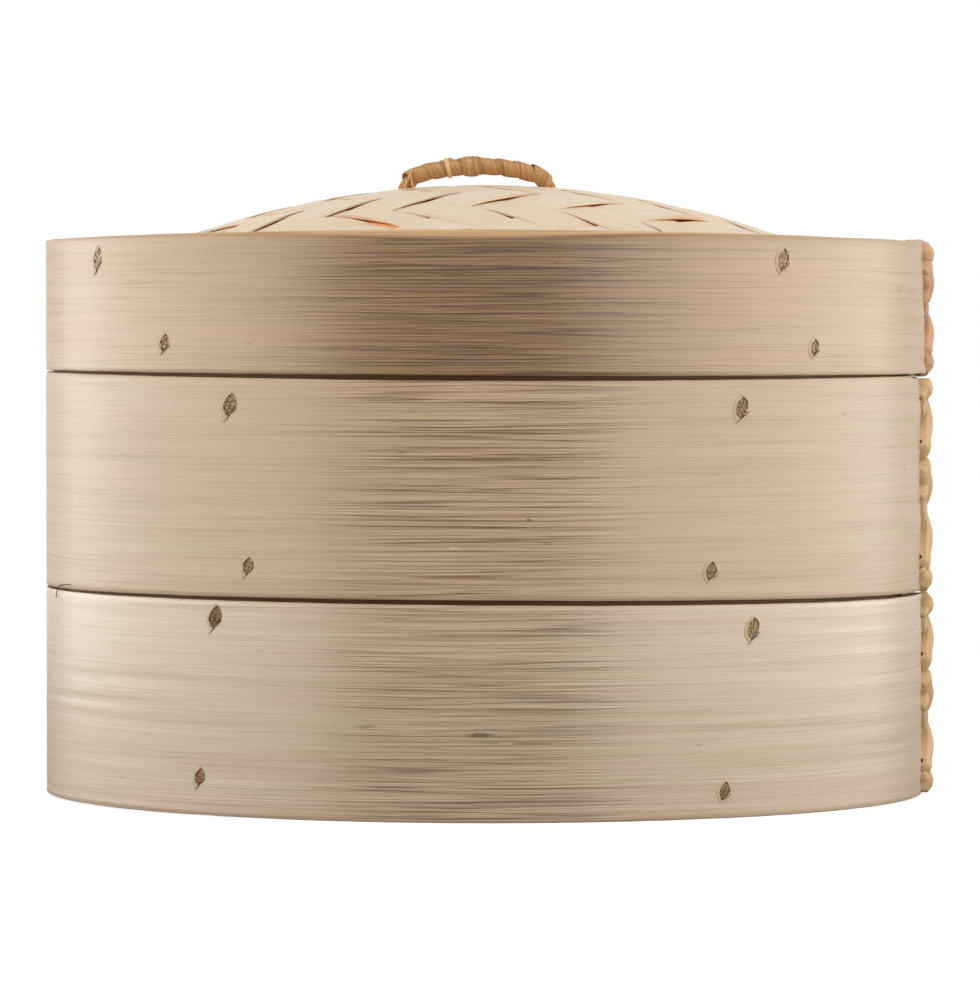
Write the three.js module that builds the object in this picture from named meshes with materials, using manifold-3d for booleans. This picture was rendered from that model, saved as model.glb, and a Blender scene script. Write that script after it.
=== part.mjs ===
// A stacked bamboo steamer: two baskets with slatted floors and a lid with a woven dome.
// Millimetres, +Z up. The origin is on the axis of the hoops, on the surface it stands on.
// The front looks along -Y, and a place round the hoops is an angle from the front, to the right.
import * as THREE from "three";
import { mergeVertices } from "three/addons/utils/BufferGeometryUtils.js";
import Module from "manifold-3d";

const wasm = await Module();
wasm.setup();

// Hoops
const HOOP_DIAMETER = 250;
const HOOP_THICKNESS = 2;
const BASKET_HEIGHT = 60;
const LID_HEIGHT = 37.9;
const FACET_ANGLE = 5;
const FIT_GAP = 0.3;

// The lap of each outer hoop, where the strip runs under its own end
const LAP_ANGLE = { lower: 84.5, upper: 82, lid: 86 };
const LAP_OVERLAP = 25;
const LAP_RISE = 18;
const SCARF_THICKNESS = 1;
const SCARF_TIP = 0.6;

// Inner hoops and floors
const INNER_THICKNESS = 2.4;
const LIP_HEIGHT = 3.5;
const LIP_CLEARANCE = 0.5;
const RING_HEIGHT = 10;
const RING_THICKNESS = 4;
const BUTT_GAP = 0.6;
const INNER_JOINT = 180;
const RING_JOINT = 150;
const SLAT_COUNT = 9;
const SLAT_WIDTH = 20;
const SLAT_GAP = 6;
const SLAT_THICKNESS = 3;
const SLAT_BEVEL = 0.6;
const BATTEN_WIDTH = 12;
const BATTEN_THICKNESS = 3.5;
const BATTEN_OFFSET = 50;

// Lid
const TOP_HOOP_PROUD = 0.5;
const DOME_SHOULDER = 4.55;
const DOME_RISE = 26.1;
const DOME_BRIM_DEPTH = 10.7;
const DOME_FACETS = 40;
const DOME_RINGS = 5;
const WEAVE_THICKNESS = 1.6;
const LINING_THICKNESS = 1.2;
const SPLINT_WIDTH = 15.5;
const SPLINT_RELIEF = 0.9;
const SPLINT_GROOVE = 0.35;
const GROOVE_FLOOR = 0.35;
const FLOAT_LENGTH = 2;
const WEAVE_START = { across: 0.17, up: 0.53 };

// Handle
const HANDLE_X = -2;
const HANDLE_HALF_SPAN = 20.9;
const HANDLE_RISE = 5.7;
const HANDLE_DROP = 5.1;
const CORE_RADIUS = 1.6;
const CORE_STEPS = 32;
const CORE_SIDES = 8;
const WRAP_WIDTH = 4.4;
const WRAP_THICKNESS = 0.75;
const WRAP_PITCH = 5.8;
const WRAP_GAP = 0.3;
const WRAP_FOOT = 2.2;
const WRAP_STEPS = 14;
const WRAP_PROBE = 0.05;
const FOOT_STEPS = 400;

// Cane lacing of each lap
const LACE_WIDTH = 4.2;
const LACE_THICKNESS = 1.3;
const LACE_SPACING = 16;
const LACE_EDGE = 5;
const LACE_DIP = 1.3;
const LACE_GAP = 0.25;
const LACE_INSET = 0.8;
const LACE_SAG = 0.2;
const LACE_LIFT = 0.9;
const LACE_STEPS = 2;
const LACE_TURN = 3;
const CROSSING_POINTS = 5;
const CROSSING_START = 0.2;
const CROSSING_RAMP = 0.3;
const RELIEF_RAMP = 12;
const RELIEF_MARGIN = 2;
const SLOT_SIDE = 2;
const SLOT_END = 0.95;
const LACE_CROSSINGS = { lower: 4, upper: 4, lid: 3 };

// Pegs. In a row, the two that face the front have an angle and a height of their own each, and
// the others are spread behind. A height is from the row's line, which goes with what it pins.
const PEG = {
  large: { width: 3.9, height: 5.2 },
  small: { width: 3.2, height: 4.2 },
};
const PEG_SHOULDER = 0.4;
const PEG_PROUD = 0.2;
const PEG_ROWS = {
  lower: {
    upper: { size: "large", count: 5, left: [-35.5, -5.9], right: [35.7, -9.1] },
    lower: { size: "small", count: 5, left: [-38, 6.6], right: [31.3, 3.4] },
  },
  upper: {
    upper: { size: "large", count: 5, left: [-33.2, -8.6], right: [33.9, -9.4] },
    lower: { size: "small", count: 5, left: [-30.5, 4.1], right: [29.3, 2.8] },
  },
  lid: {
    upper: { size: "large", count: 4, left: [-58.3, 4.1], right: [40.5, 3.4] },
    lower: { size: "small", count: 4, left: [-44, 4.1], right: [46.2, 2.9] },
  },
};
const CUTTER_REACH = 16;

const OUTER_RADIUS = HOOP_DIAMETER / 2;
const LAP_STEP = HOOP_THICKNESS + FIT_GAP;
const INNER_FACE = OUTER_RADIUS - HOOP_THICKNESS;
const FLOOR_BOTTOM = LIP_HEIGHT + LIP_CLEARANCE;
const SLAT_BOTTOM = FLOOR_BOTTOM + RING_HEIGHT;
const SLAT_TOP = SLAT_BOTTOM + SLAT_THICKNESS;
const TIGHTEST_FACE = OUTER_RADIUS - LAP_STEP - SCARF_THICKNESS;
const FLOOR_RADIUS = TIGHTEST_FACE - FIT_GAP;
const LACE_DEPTH = LACE_GAP + LACE_THICKNESS + 3 * FIT_GAP;
const DOME_RADIUS = FLOOR_RADIUS - LACE_DEPTH - INNER_THICKNESS - DOME_SHOULDER;
const DOME_BRIM_HEIGHT = LID_HEIGHT - DOME_BRIM_DEPTH;

// The lines that the rows of pegs are measured from: a basket's top edge, the lower edge of a
// floor ring or of the lid's inner hoop, and the brim of the dome
const PEG_LINES = {
  lower: { upper: BASKET_HEIGHT, lower: FLOOR_BOTTOM },
  upper: { upper: BASKET_HEIGHT, lower: FLOOR_BOTTOM },
  lid: { upper: DOME_BRIM_HEIGHT, lower: FLOOR_BOTTOM },
};

const BAMBOO = { color: 0xd9c3a3, roughness: 0.62, metalness: 0 };
const SPLINT = { color: 0xe4cfb0, roughness: 0.5, metalness: 0 };
const CANE = { color: 0xc99a68, roughness: 0.55, metalness: 0 };
const PEG_WOOD = { color: 0x9c8a6c, roughness: 0.8, metalness: 0 };

// A closed solid of a geometry, ready to be joined to others or cut
function solidOf(geometry) {
  const bare = geometry.clone();
  bare.deleteAttribute("normal");
  bare.deleteAttribute("uv");
  const merged = mergeVertices(bare, 1e-4);
  const vertProperties = new Float32Array(merged.attributes.position.array);
  const triVerts = new Uint32Array(merged.index.array);
  return new wasm.Manifold(new wasm.Mesh({ numProp: 3, vertProperties, triVerts }));
}

function geometryOf(solid) {
  const { vertProperties, triVerts } = solid.getMesh();
  const geometry = new THREE.BufferGeometry();
  geometry.setAttribute("position", new THREE.BufferAttribute(vertProperties, 3));
  geometry.setIndex(new THREE.BufferAttribute(triVerts, 1));
  geometry.computeVertexNormals();
  return geometry;
}

function piece(name, geometry, look) {
  const mesh = new THREE.Mesh(geometry, new THREE.MeshStandardMaterial(look));
  mesh.name = name;
  return mesh;
}

const radians = THREE.MathUtils.degToRad;

// A point at an angle from the front and a radius, in plan
function polar(angle, radius) {
  return new THREE.Vector2(radius * Math.sin(radians(angle)), -radius * Math.cos(radians(angle)));
}

// From 0 to 1, level at both ends
function ease(value) {
  return THREE.MathUtils.smoothstep(value, 0, 1);
}

// Radii of both faces of an outer hoop, at a run of degrees back from its outer end
function stripFaces(run) {
  const rise = ease((run - (360 - LAP_RISE)) / LAP_RISE);
  const tip = Math.max(0, (run - 360) / LAP_OVERLAP);
  const outer = OUTER_RADIUS - LAP_STEP * rise;
  const scarfed = THREE.MathUtils.lerp(HOOP_THICKNESS, SCARF_THICKNESS, rise);
  const thickness = THREE.MathUtils.lerp(scarfed, SCARF_TIP, tip);
  return { outer, inner: outer - thickness };
}

// The innermost face that the outer hoops reach at an angle, over all three laps
function clearFace(angle) {
  let face = INNER_FACE;
  for (const lap of Object.values(LAP_ANGLE)) {
    for (const turn of [-360, 0, 360]) {
      const run = lap - angle + turn;
      if (run >= 360 - LAP_RISE && run <= 360 + LAP_OVERLAP + FACET_ANGLE) {
        face = Math.min(face, stripFaces(Math.min(run, 360 + LAP_OVERLAP)).inner);
      }
    }
  }
  return face;
}

// How far inner hoops and rings bend in to clear the lacing behind the laps
function laceRelief(angle) {
  const laps = Object.values(LAP_ANGLE);
  const degreesPerLength = THREE.MathUtils.radToDeg(1 / OUTER_RADIUS);
  const margin = RELIEF_MARGIN * LACE_WIDTH * degreesPerLength;
  const from = Math.min(...laps) - margin - RELIEF_RAMP;
  const to = Math.max(...laps) + LACE_SPACING * degreesPerLength + margin + RELIEF_RAMP;
  return LACE_DEPTH * Math.min(ease((angle - from) / RELIEF_RAMP), ease((to - angle) / RELIEF_RAMP));
}

function innerFit(angle) {
  let face = INNER_FACE;
  for (const side of [-FACET_ANGLE, 0, FACET_ANGLE]) {
    face = Math.min(face, clearFace(angle + side));
  }
  return face - FIT_GAP - laceRelief(angle);
}

function extruded(points, height) {
  return new THREE.ExtrudeGeometry(new THREE.Shape(points), { depth: height, bevelEnabled: false });
}

// An outer hoop: one strip bent round, scarfed where it runs under its own outer end
function outerHoop(lap, height) {
  const outside = [];
  const inside = [];
  const length = 360 + LAP_OVERLAP;
  for (let run = 0; run <= length; run += FACET_ANGLE) {
    const faces = stripFaces(run);
    outside.push(polar(lap - run, faces.outer));
    inside.unshift(polar(lap - run, faces.inner));
  }
  return extruded([...outside, ...inside], height);
}

// An inner hoop or ring: one strip whose ends meet in a butt joint
function innerRing(joint, thickness, height) {
  const outside = [];
  const inside = [];
  const opening = THREE.MathUtils.radToDeg(BUTT_GAP / OUTER_RADIUS) / 2;
  const steps = 360 / FACET_ANGLE;
  for (let step = 0; step <= steps; step += 1) {
    const turn = THREE.MathUtils.lerp(opening, 360 - opening, step / steps);
    const angle = ((joint + turn + 180) % 360) - 180;
    const face = innerFit(angle);
    outside.push(polar(angle, face));
    inside.unshift(polar(angle, face - thickness));
  }
  return extruded([...outside, ...inside], height);
}

// A disc that fits inside the hoops and clears the lacing, to trim the brim of the dome
function brimCutter(height) {
  const outline = [];
  for (let angle = -180; angle < 180; angle += FACET_ANGLE) {
    outline.push(polar(angle, Math.min(FLOOR_RADIUS, innerFit(angle))));
  }
  return solidOf(extruded(outline, height));
}

// Places of one row of pegs: the front two, and the rest spread evenly round the back
function pegPlaces(ring, side) {
  const row = PEG_ROWS[ring][side];
  const line = PEG_LINES[ring][side];
  const [left, leftHeight] = [row.left[0], line + row.left[1]];
  const [right, rightHeight] = [row.right[0], line + row.right[1]];
  const places = [
    { angle: left, height: leftHeight },
    { angle: right, height: rightHeight },
  ];
  const spread = (left + 360 - right) / (row.count - 1);
  for (let index = 1; index < row.count - 1; index += 1) {
    places.push({ angle: right + index * spread, height: (leftHeight + rightHeight) / 2 });
  }
  return places;
}

// A prism on an upright outline, driven through a wall towards the axis
function driven(outline, place, from, to) {
  const prism = extruded(outline, to - from);
  prism.rotateX(Math.PI / 2);
  prism.translate(0, -from, 0);
  prism.rotateZ(radians(place.angle));
  prism.translate(0, 0, place.height);
  return prism;
}

// A peg, split from a bamboo stick: a flat hexagon, taller than wide
function peg(place, size, from, to, grow = 0) {
  const { width, height } = PEG[size];
  const a = width / 2 + grow;
  const b = height / 2 + grow;
  const shoulder = PEG_SHOULDER * b;
  const outline = [
    [0, -b],
    [a, -shoulder],
    [a, shoulder],
    [0, b],
    [-a, shoulder],
    [-a, -shoulder],
  ].map(([x, y]) => new THREE.Vector2(x, y));
  return driven(outline, place, from, to);
}

// Faces of the wall that a lacing goes round, at an angle near its lap
function lacedWall(lap, angle) {
  const under = stripFaces(Math.min(360 + lap - angle, 360 + LAP_OVERLAP));
  return { outer: angle <= lap ? OUTER_RADIUS : under.outer, inner: under.inner };
}

// Angles of the two columns of slots, the first at the outer end of the strip
function laceColumns(lap) {
  const first = lap - LACE_INSET;
  return [first, first + THREE.MathUtils.radToDeg(LACE_SPACING / OUTER_RADIUS)];
}

function laceRise(height, crossings) {
  return (height - 2 * LACE_EDGE) / crossings;
}

// The lacing: one flat cane that climbs a lap in a zigzag and comes down across its own run.
// At each turn it dips through the wall. A point has an angle, a height and a radius.
function lacePoints(lap, height, crossings) {
  const columns = laceColumns(lap);
  const spread = columns[1] - columns[0];
  const rise = laceRise(height, crossings);
  const half = LACE_THICKNESS / 2;
  const points = [];
  const dip = (column, level, way) => {
    const angle = columns[column];
    const radius = lacedWall(lap, angle).inner - LACE_GAP - half;
    const middle = LACE_EDGE + level * rise;
    points.push({ angle, height: middle - way * LACE_DIP, radius });
    points.push({ angle, height: middle + way * LACE_DIP, radius });
  };
  const cross = (column, level, way, lift) => {
    const across = column === 0 ? spread : -spread;
    for (let step = 0; step < CROSSING_POINTS; step += 1) {
      const share = THREE.MathUtils.lerp(CROSSING_START, 1 - CROSSING_START, step / (CROSSING_POINTS - 1));
      const angle = columns[column] + across * share;
      const surface = Math.max(lacedWall(lap, angle).outer, OUTER_RADIUS - LACE_SAG);
      const bridge = lift * ease(Math.min(share, 1 - share) / CROSSING_RAMP);
      const climbed = LACE_EDGE + (level + way * share) * rise;
      points.push({ angle, height: climbed, radius: surface + LACE_GAP + half + bridge });
    }
  };
  for (let level = 0; level < crossings; level += 1) {
    dip(level % 2, level, 1);
    cross(level % 2, level, 1, 0);
  }
  const last = crossings % 2;
  dip(last, crossings, 1);
  for (let level = crossings; level > 0; level -= 1) {
    dip((level + 1) % 2, level, -1);
    cross((level + 1) % 2, level, -1, LACE_THICKNESS + LACE_LIFT);
  }
  dip(1, 0, -1);
  return points;
}

// The lacing's stations, in steps along a smooth curve through its points
function laceStations(lap, height, crossings) {
  const flat = lacePoints(lap, height, crossings).map(
    (point) => new THREE.Vector3(radians(point.angle) * OUTER_RADIUS, point.height, point.radius),
  );
  const curve = new THREE.CatmullRomCurve3(flat, false, "centripetal");
  const steps = flat.length * LACE_STEPS;
  const spots = curve.getPoints(steps);
  return spots.map((spot, step) => {
    const angle = spot.x / OUTER_RADIUS;
    const around = new THREE.Vector3(Math.cos(angle), Math.sin(angle), 0);
    const out = new THREE.Vector3(Math.sin(angle), -Math.cos(angle), 0);
    const before = spots[Math.max(0, step - LACE_TURN)];
    const after = spots[Math.min(steps, step + LACE_TURN)];
    const flow = new THREE.Vector2(after.x - before.x, after.y - before.y).normalize();
    const way = curve.getTangent(step / steps);
    const along = around.clone().multiplyScalar(way.x).addScaledVector(out, way.z);
    along.z = way.y;
    const side = around.clone().multiplyScalar(-flow.y);
    side.z = flow.x;
    const outward = along.clone().cross(side).normalize();
    const across = outward.clone().cross(along).normalize();
    const centre = out.clone().multiplyScalar(spot.z);
    centre.z = spot.y;
    return { centre, across, outward };
  });
}

// The slots punched through a lap, one for each dip of the lacing
function laceSlots(lap, height, crossings) {
  const slots = [];
  const a = LACE_WIDTH / 2 + SLOT_SIDE;
  const b = LACE_DIP + LACE_WIDTH / 2 + SLOT_END;
  const outline = [[-a, -b], [a, -b], [a, b], [-a, b]].map(([x, y]) => new THREE.Vector2(x, y));
  for (const angle of laceColumns(lap)) {
    for (let level = 0; level <= crossings; level += 1) {
      const place = { angle, height: LACE_EDGE + level * laceRise(height, crossings) };
      slots.push(solidOf(driven(outline, place, INNER_FACE - CUTTER_REACH, OUTER_RADIUS + CUTTER_REACH)));
    }
  }
  return slots;
}

// A closed flat ribbon through stations that each give a centre, an across and an outward vector
function ribbon(stations, width, thickness) {
  const positions = [];
  for (const { centre, across, outward } of stations) {
    for (const [side, face] of [[-1, -1], [1, -1], [1, 1], [-1, 1]]) {
      const corner = centre.clone();
      corner.addScaledVector(across, (side * width) / 2);
      corner.addScaledVector(outward, (face * thickness) / 2);
      positions.push(corner.x, corner.y, corner.z);
    }
  }
  const index = [];
  for (let station = 0; station < stations.length - 1; station += 1) {
    for (let side = 0; side < 4; side += 1) {
      const a = station * 4 + side;
      const b = station * 4 + ((side + 1) % 4);
      index.push(a, b, b + 4, a, b + 4, a + 4);
    }
  }
  const end = (stations.length - 1) * 4;
  index.push(0, 2, 1, 0, 3, 2, end, end + 1, end + 2, end, end + 2, end + 3);
  const geometry = new THREE.BufferGeometry();
  geometry.setAttribute("position", new THREE.Float32BufferAttribute(positions, 3));
  geometry.setIndex(index);
  geometry.computeVertexNormals();
  return geometry;
}

// Least distance between far parts of one ribbon, measured on its corners
function leastGap(geometry, apart) {
  const place = geometry.attributes.position;
  const a = new THREE.Vector3();
  const b = new THREE.Vector3();
  let least = Infinity;
  for (let from = 0; from < place.count; from += 1) {
    a.fromBufferAttribute(place, from);
    for (let to = from + 4 * apart; to < place.count; to += 1) {
      b.fromBufferAttribute(place, to);
      least = Math.min(least, a.distanceTo(b));
    }
  }
  return least;
}

// A round bar of the floor or dome's size, to trim pieces to the hoops
function roundCutter(radius, from, to) {
  const bar = new THREE.CylinderGeometry(radius, radius, to - from, 360 / FACET_ANGLE);
  bar.rotateX(Math.PI / 2);
  bar.translate(0, 0, (from + to) / 2);
  return solidOf(bar);
}

// Height of the dome's top above the lid's lower edge
function domeTop(radius) {
  const sphere = (DOME_RADIUS ** 2 + DOME_RISE ** 2) / (2 * DOME_RISE);
  const inside = Math.min(radius, DOME_RADIUS);
  return DOME_BRIM_HEIGHT + Math.sqrt(sphere ** 2 - inside ** 2) - Math.sqrt(sphere ** 2 - DOME_RADIUS ** 2);
}

function domeProfile(drop) {
  const points = [];
  for (let ring = 0; ring <= DOME_RINGS; ring += 1) {
    const radius = (DOME_RADIUS * ring) / DOME_RINGS;
    points.push(new THREE.Vector2(radius, domeTop(radius) - drop));
  }
  points.push(new THREE.Vector2(FLOOR_RADIUS, DOME_BRIM_HEIGHT - drop));
  return points;
}

function lathed(points) {
  const shape = new THREE.LatheGeometry(points, DOME_FACETS);
  shape.rotateX(Math.PI / 2);
  return solidOf(shape);
}

// The twill of the dome: each splint goes over two and under two, one step on from its neighbour.
// At a crossing of lines, this tells which way the upper splint runs and how high it is there.
function twillRelief(across, up) {
  const pattern = 2 * FLOAT_LENGTH;
  const phase = (((across.cell + up.cell) % pattern) + pattern) % pattern;
  const step = phase % FLOAT_LENGTH;
  const line = phase < FLOAT_LENGTH ? up : across;
  const along = line.share - (line.cell - step);
  return { line, step, rise: Math.sin((Math.PI * along) / FLOAT_LENGTH) };
}

// The edges of the splints of one family, each with the foot of the groove on either side
function weaveLines(start) {
  const reach = Math.ceil(FLOOR_RADIUS / SPLINT_WIDTH);
  const groove = SPLINT_GROOVE / SPLINT_WIDTH;
  const lines = [];
  const add = (cell, share, edge) => {
    lines.push({ cell, share, edge, at: (share + start) * SPLINT_WIDTH });
  };
  for (let cell = -reach - 1; cell < reach; cell += 1) {
    add(cell, cell, true);
    add(cell, cell + groove, false);
    add(cell, cell + 1 - groove, false);
  }
  add(reach, reach, true);
  return lines;
}

// The outer layer of the dome as one woven sheet, over its whole square before it is trimmed
function wovenBlock() {
  const ups = weaveLines(WEAVE_START.up);
  const acrosses = weaveLines(WEAVE_START.across);
  const rise = (across, up) => {
    const here = twillRelief(across, up);
    if (across.edge && up.edge) return 0;
    if (across.edge) return here.line === across && here.step > 0 ? here.rise : 0;
    if (up.edge) return here.line === up && here.step > 0 ? here.rise : 0;
    return GROOVE_FLOOR + (1 - GROOVE_FLOOR) * here.rise;
  };
  const positions = [];
  for (const up of ups) {
    for (const across of acrosses) {
      const x = (across.at - up.at) / Math.SQRT2;
      const y = (across.at + up.at) / Math.SQRT2;
      const radius = Math.hypot(x, y);
      const flat = 1 - ease((radius - DOME_RADIUS + SPLINT_WIDTH / 2) / (SPLINT_WIDTH / 2));
      positions.push(x, y, domeTop(radius) - SPLINT_RELIEF * flat * (1 - rise(across, up)));
    }
  }
  const count = ups.length;
  const index = [];
  for (let up = 0; up < count - 1; up += 1) {
    for (let across = 0; across < count - 1; across += 1) {
      const a = up * count + across;
      index.push(a, a + 1, a + count + 1, a, a + count + 1, a + count);
    }
  }
  const corners = [0, count - 1, count * count - 1, count * (count - 1)];
  const base = positions.length / 3;
  for (const corner of corners) {
    positions.push(positions[3 * corner], positions[3 * corner + 1], 0);
  }
  const strides = [1, count, -1, -count];
  for (let side = 0; side < 4; side += 1) {
    const next = (side + 1) % 4;
    for (let step = 0; step < count - 1; step += 1) {
      const a = corners[side] + step * strides[side];
      index.push(base + side, a + strides[side], a);
    }
    index.push(base + side, base + next, corners[next]);
  }
  index.push(base, base + 2, base + 1, base, base + 3, base + 2);
  const block = new THREE.BufferGeometry();
  block.setAttribute("position", new THREE.Float32BufferAttribute(positions, 3));
  block.setIndex(index);
  return solidOf(block);
}

// The handle's loop: an arch over the dome, and a run below it where the two ends meet
const HANDLE_LOOP = new THREE.CatmullRomCurve3(
  [
    [-BUTT_GAP / 2 / HANDLE_HALF_SPAN, -1],
    [-0.62, -1],
    [-0.88, -0.86],
    [-0.99, -0.5],
    [-1, -0.14],
    [-0.86, 0.44],
    [-0.62, 0.75],
    [-0.31, 0.95],
    [0, 1],
    [0.31, 0.95],
    [0.62, 0.75],
    [0.86, 0.44],
    [1, -0.14],
    [0.99, -0.5],
    [0.88, -0.86],
    [0.62, -1],
    [BUTT_GAP / 2 / HANDLE_HALF_SPAN, -1],
  ].map(([across, up]) => {
    const rise = up * (up > 0 ? HANDLE_RISE : HANDLE_DROP);
    return new THREE.Vector3(HANDLE_X + across * HANDLE_HALF_SPAN, 0, domeTop(0) + rise);
  }),
);

function handleBar(radius) {
  const section = new THREE.Shape();
  for (let corner = 0; corner < CORE_SIDES; corner += 1) {
    const angle = (2 * Math.PI * corner) / CORE_SIDES;
    const point = [radius * Math.cos(angle), radius * Math.sin(angle)];
    if (corner === 0) section.moveTo(...point);
    else section.lineTo(...point);
  }
  return new THREE.ExtrudeGeometry(section, { steps: CORE_STEPS, extrudePath: HANDLE_LOOP });
}

// The cane wound round the arch, from one foot to the other
function wrapStations() {
  const length = HANDLE_LOOP.getLength();
  const wrapRadius = CORE_RADIUS + WRAP_GAP + WRAP_THICKNESS / 2;
  const place = (along) => {
    const share = along / length;
    const centre = HANDLE_LOOP.getPointAt(share);
    const way = HANDLE_LOOP.getTangentAt(share);
    const side = new THREE.Vector3(0, 1, 0);
    const up = side.clone().cross(way);
    const turn = (2 * Math.PI * along) / WRAP_PITCH;
    const outward = up.multiplyScalar(Math.cos(turn)).addScaledVector(side, Math.sin(turn));
    return { centre: centre.addScaledVector(outward, wrapRadius), outward };
  };
  const foot = (sign) => {
    let share = 0.5;
    while (HANDLE_LOOP.getPointAt(share).z > domeTop(0) + WRAP_FOOT) share += sign / FOOT_STEPS;
    return share * length;
  };
  const [start, end] = [foot(-1), foot(1)];
  const steps = Math.round(((end - start) / WRAP_PITCH) * WRAP_STEPS);
  const stations = [];
  for (let step = 0; step <= steps; step += 1) {
    const along = THREE.MathUtils.lerp(start, end, step / steps);
    const { centre, outward } = place(along);
    const [behind, ahead] = [place(along - WRAP_PROBE), place(along + WRAP_PROBE)];
    const way = ahead.centre.sub(behind.centre).normalize();
    const across = outward.clone().cross(way).normalize();
    stations.push({ centre, across, outward });
  }
  return stations;
}

function lacing(name, ring, height) {
  const stations = laceStations(LAP_ANGLE[ring], height, LACE_CROSSINGS[ring]);
  const geometry = ribbon(stations, LACE_WIDTH, LACE_THICKNESS);
  console.log(`${name} clears itself by ${leastGap(geometry, 8).toFixed(2)} mm`);
  const slots = laceSlots(LAP_ANGLE[ring], height, LACE_CROSSINGS[ring]);
  return { mesh: piece(name, geometry, CANE), slots };
}

// Subtracts cutters from a solid one by one
function cut(solid, cutters) {
  return cutters.reduce((left, cutter) => left.subtract(cutter), solid);
}

function pegHoles(ring, side) {
  const { size } = PEG_ROWS[ring][side];
  const [from, to] = [INNER_FACE - CUTTER_REACH, OUTER_RADIUS + CUTTER_REACH];
  return pegPlaces(ring, side).map((place) => solidOf(peg(place, size, from, to, FIT_GAP)));
}

// An outer hoop with its lacing's slots and the holes of both rows of pegs
function lacedHoop(group, ring, name, height) {
  const { mesh, slots } = lacing(`${ring}_lacing`, ring, height);
  const strip = solidOf(outerHoop(LAP_ANGLE[ring], height));
  const hoop = cut(strip, [...slots, ...pegHoles(ring, "upper"), ...pegHoles(ring, "lower")]);
  group.add(piece(name, geometryOf(hoop), BAMBOO), mesh);
}

// The pegs of a row, each from just outside the outer hoop to just inside a ring of a thickness
function pegSticks(ring, side, thickness) {
  return pegPlaces(ring, side).map((place) => {
    const tail = innerFit(place.angle) - thickness - PEG_PROUD;
    return peg(place, PEG_ROWS[ring][side].size, tail, OUTER_RADIUS + PEG_PROUD);
  });
}

function addPegs(group, prefix, sticks) {
  sticks.forEach((stick, index) => {
    group.add(piece(`${prefix}_${index + 1}`, stick, PEG_WOOD));
  });
}

function slat(index) {
  const middle = (index - (SLAT_COUNT - 1) / 2) * (SLAT_WIDTH + SLAT_GAP);
  const a = SLAT_WIDTH / 2;
  const b = SLAT_BEVEL;
  const outline = [
    [-a, 0],
    [a, 0],
    [a, SLAT_THICKNESS - b],
    [a - b, SLAT_THICKNESS],
    [b - a, SLAT_THICKNESS],
    [-a, SLAT_THICKNESS - b],
  ].map(([x, y]) => new THREE.Vector2(x, y));
  const bar = extruded(outline, HOOP_DIAMETER);
  bar.rotateX(Math.PI / 2);
  bar.translate(middle, HOOP_DIAMETER / 2, SLAT_BOTTOM);
  return geometryOf(solidOf(bar).intersect(roundCutter(FLOOR_RADIUS, 0, BASKET_HEIGHT)));
}

function battenBar(side, grow) {
  const bar = new THREE.BoxGeometry(
    HOOP_DIAMETER + HOOP_THICKNESS,
    BATTEN_WIDTH + 2 * grow,
    BATTEN_THICKNESS + 2 * grow,
  );
  bar.translate(0, side * BATTEN_OFFSET, SLAT_BOTTOM - BATTEN_THICKNESS / 2);
  return solidOf(bar);
}

// The least outer radius of the inner rings, all the way round
function tightestFit() {
  let least = OUTER_RADIUS;
  for (let angle = -180; angle < 180; angle += 1) least = Math.min(least, innerFit(angle));
  return least;
}

function basket(ring) {
  const group = new THREE.Group();
  lacedHoop(group, ring, `${ring}_outer_hoop`, BASKET_HEIGHT);

  const height = BASKET_HEIGHT + LIP_HEIGHT - SLAT_TOP;
  const inner = innerRing(INNER_JOINT, INNER_THICKNESS, height);
  inner.translate(0, 0, SLAT_TOP);
  const innerHoop = cut(solidOf(inner), pegHoles(ring, "upper"));
  group.add(piece(`${ring}_inner_hoop`, geometryOf(innerHoop), BAMBOO));
  addPegs(group, `${ring}_peg`, pegSticks(ring, "upper", INNER_THICKNESS));

  const band = innerRing(RING_JOINT, RING_THICKNESS, RING_HEIGHT);
  band.translate(0, 0, FLOOR_BOTTOM);
  let floorRing = solidOf(band);
  for (const stick of pegSticks(ring, "lower", RING_THICKNESS)) {
    floorRing = floorRing.add(solidOf(stick));
  }
  floorRing = cut(floorRing, [battenBar(-1, FIT_GAP), battenBar(1, FIT_GAP)]);
  group.add(piece(`${ring}_floor_ring`, geometryOf(floorRing), BAMBOO));

  const ends = roundCutter(tightestFit() - FIT_GAP, 0, BASKET_HEIGHT);
  [-1, 1].forEach((side, index) => {
    const bar = geometryOf(battenBar(side, 0).intersect(ends));
    group.add(piece(`${ring}_batten_${index + 1}`, bar, BAMBOO));
  });
  for (let index = 0; index < SLAT_COUNT; index += 1) {
    group.add(piece(`${ring}_slat_${index + 1}`, slat(index), BAMBOO));
  }
  return group;
}

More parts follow.
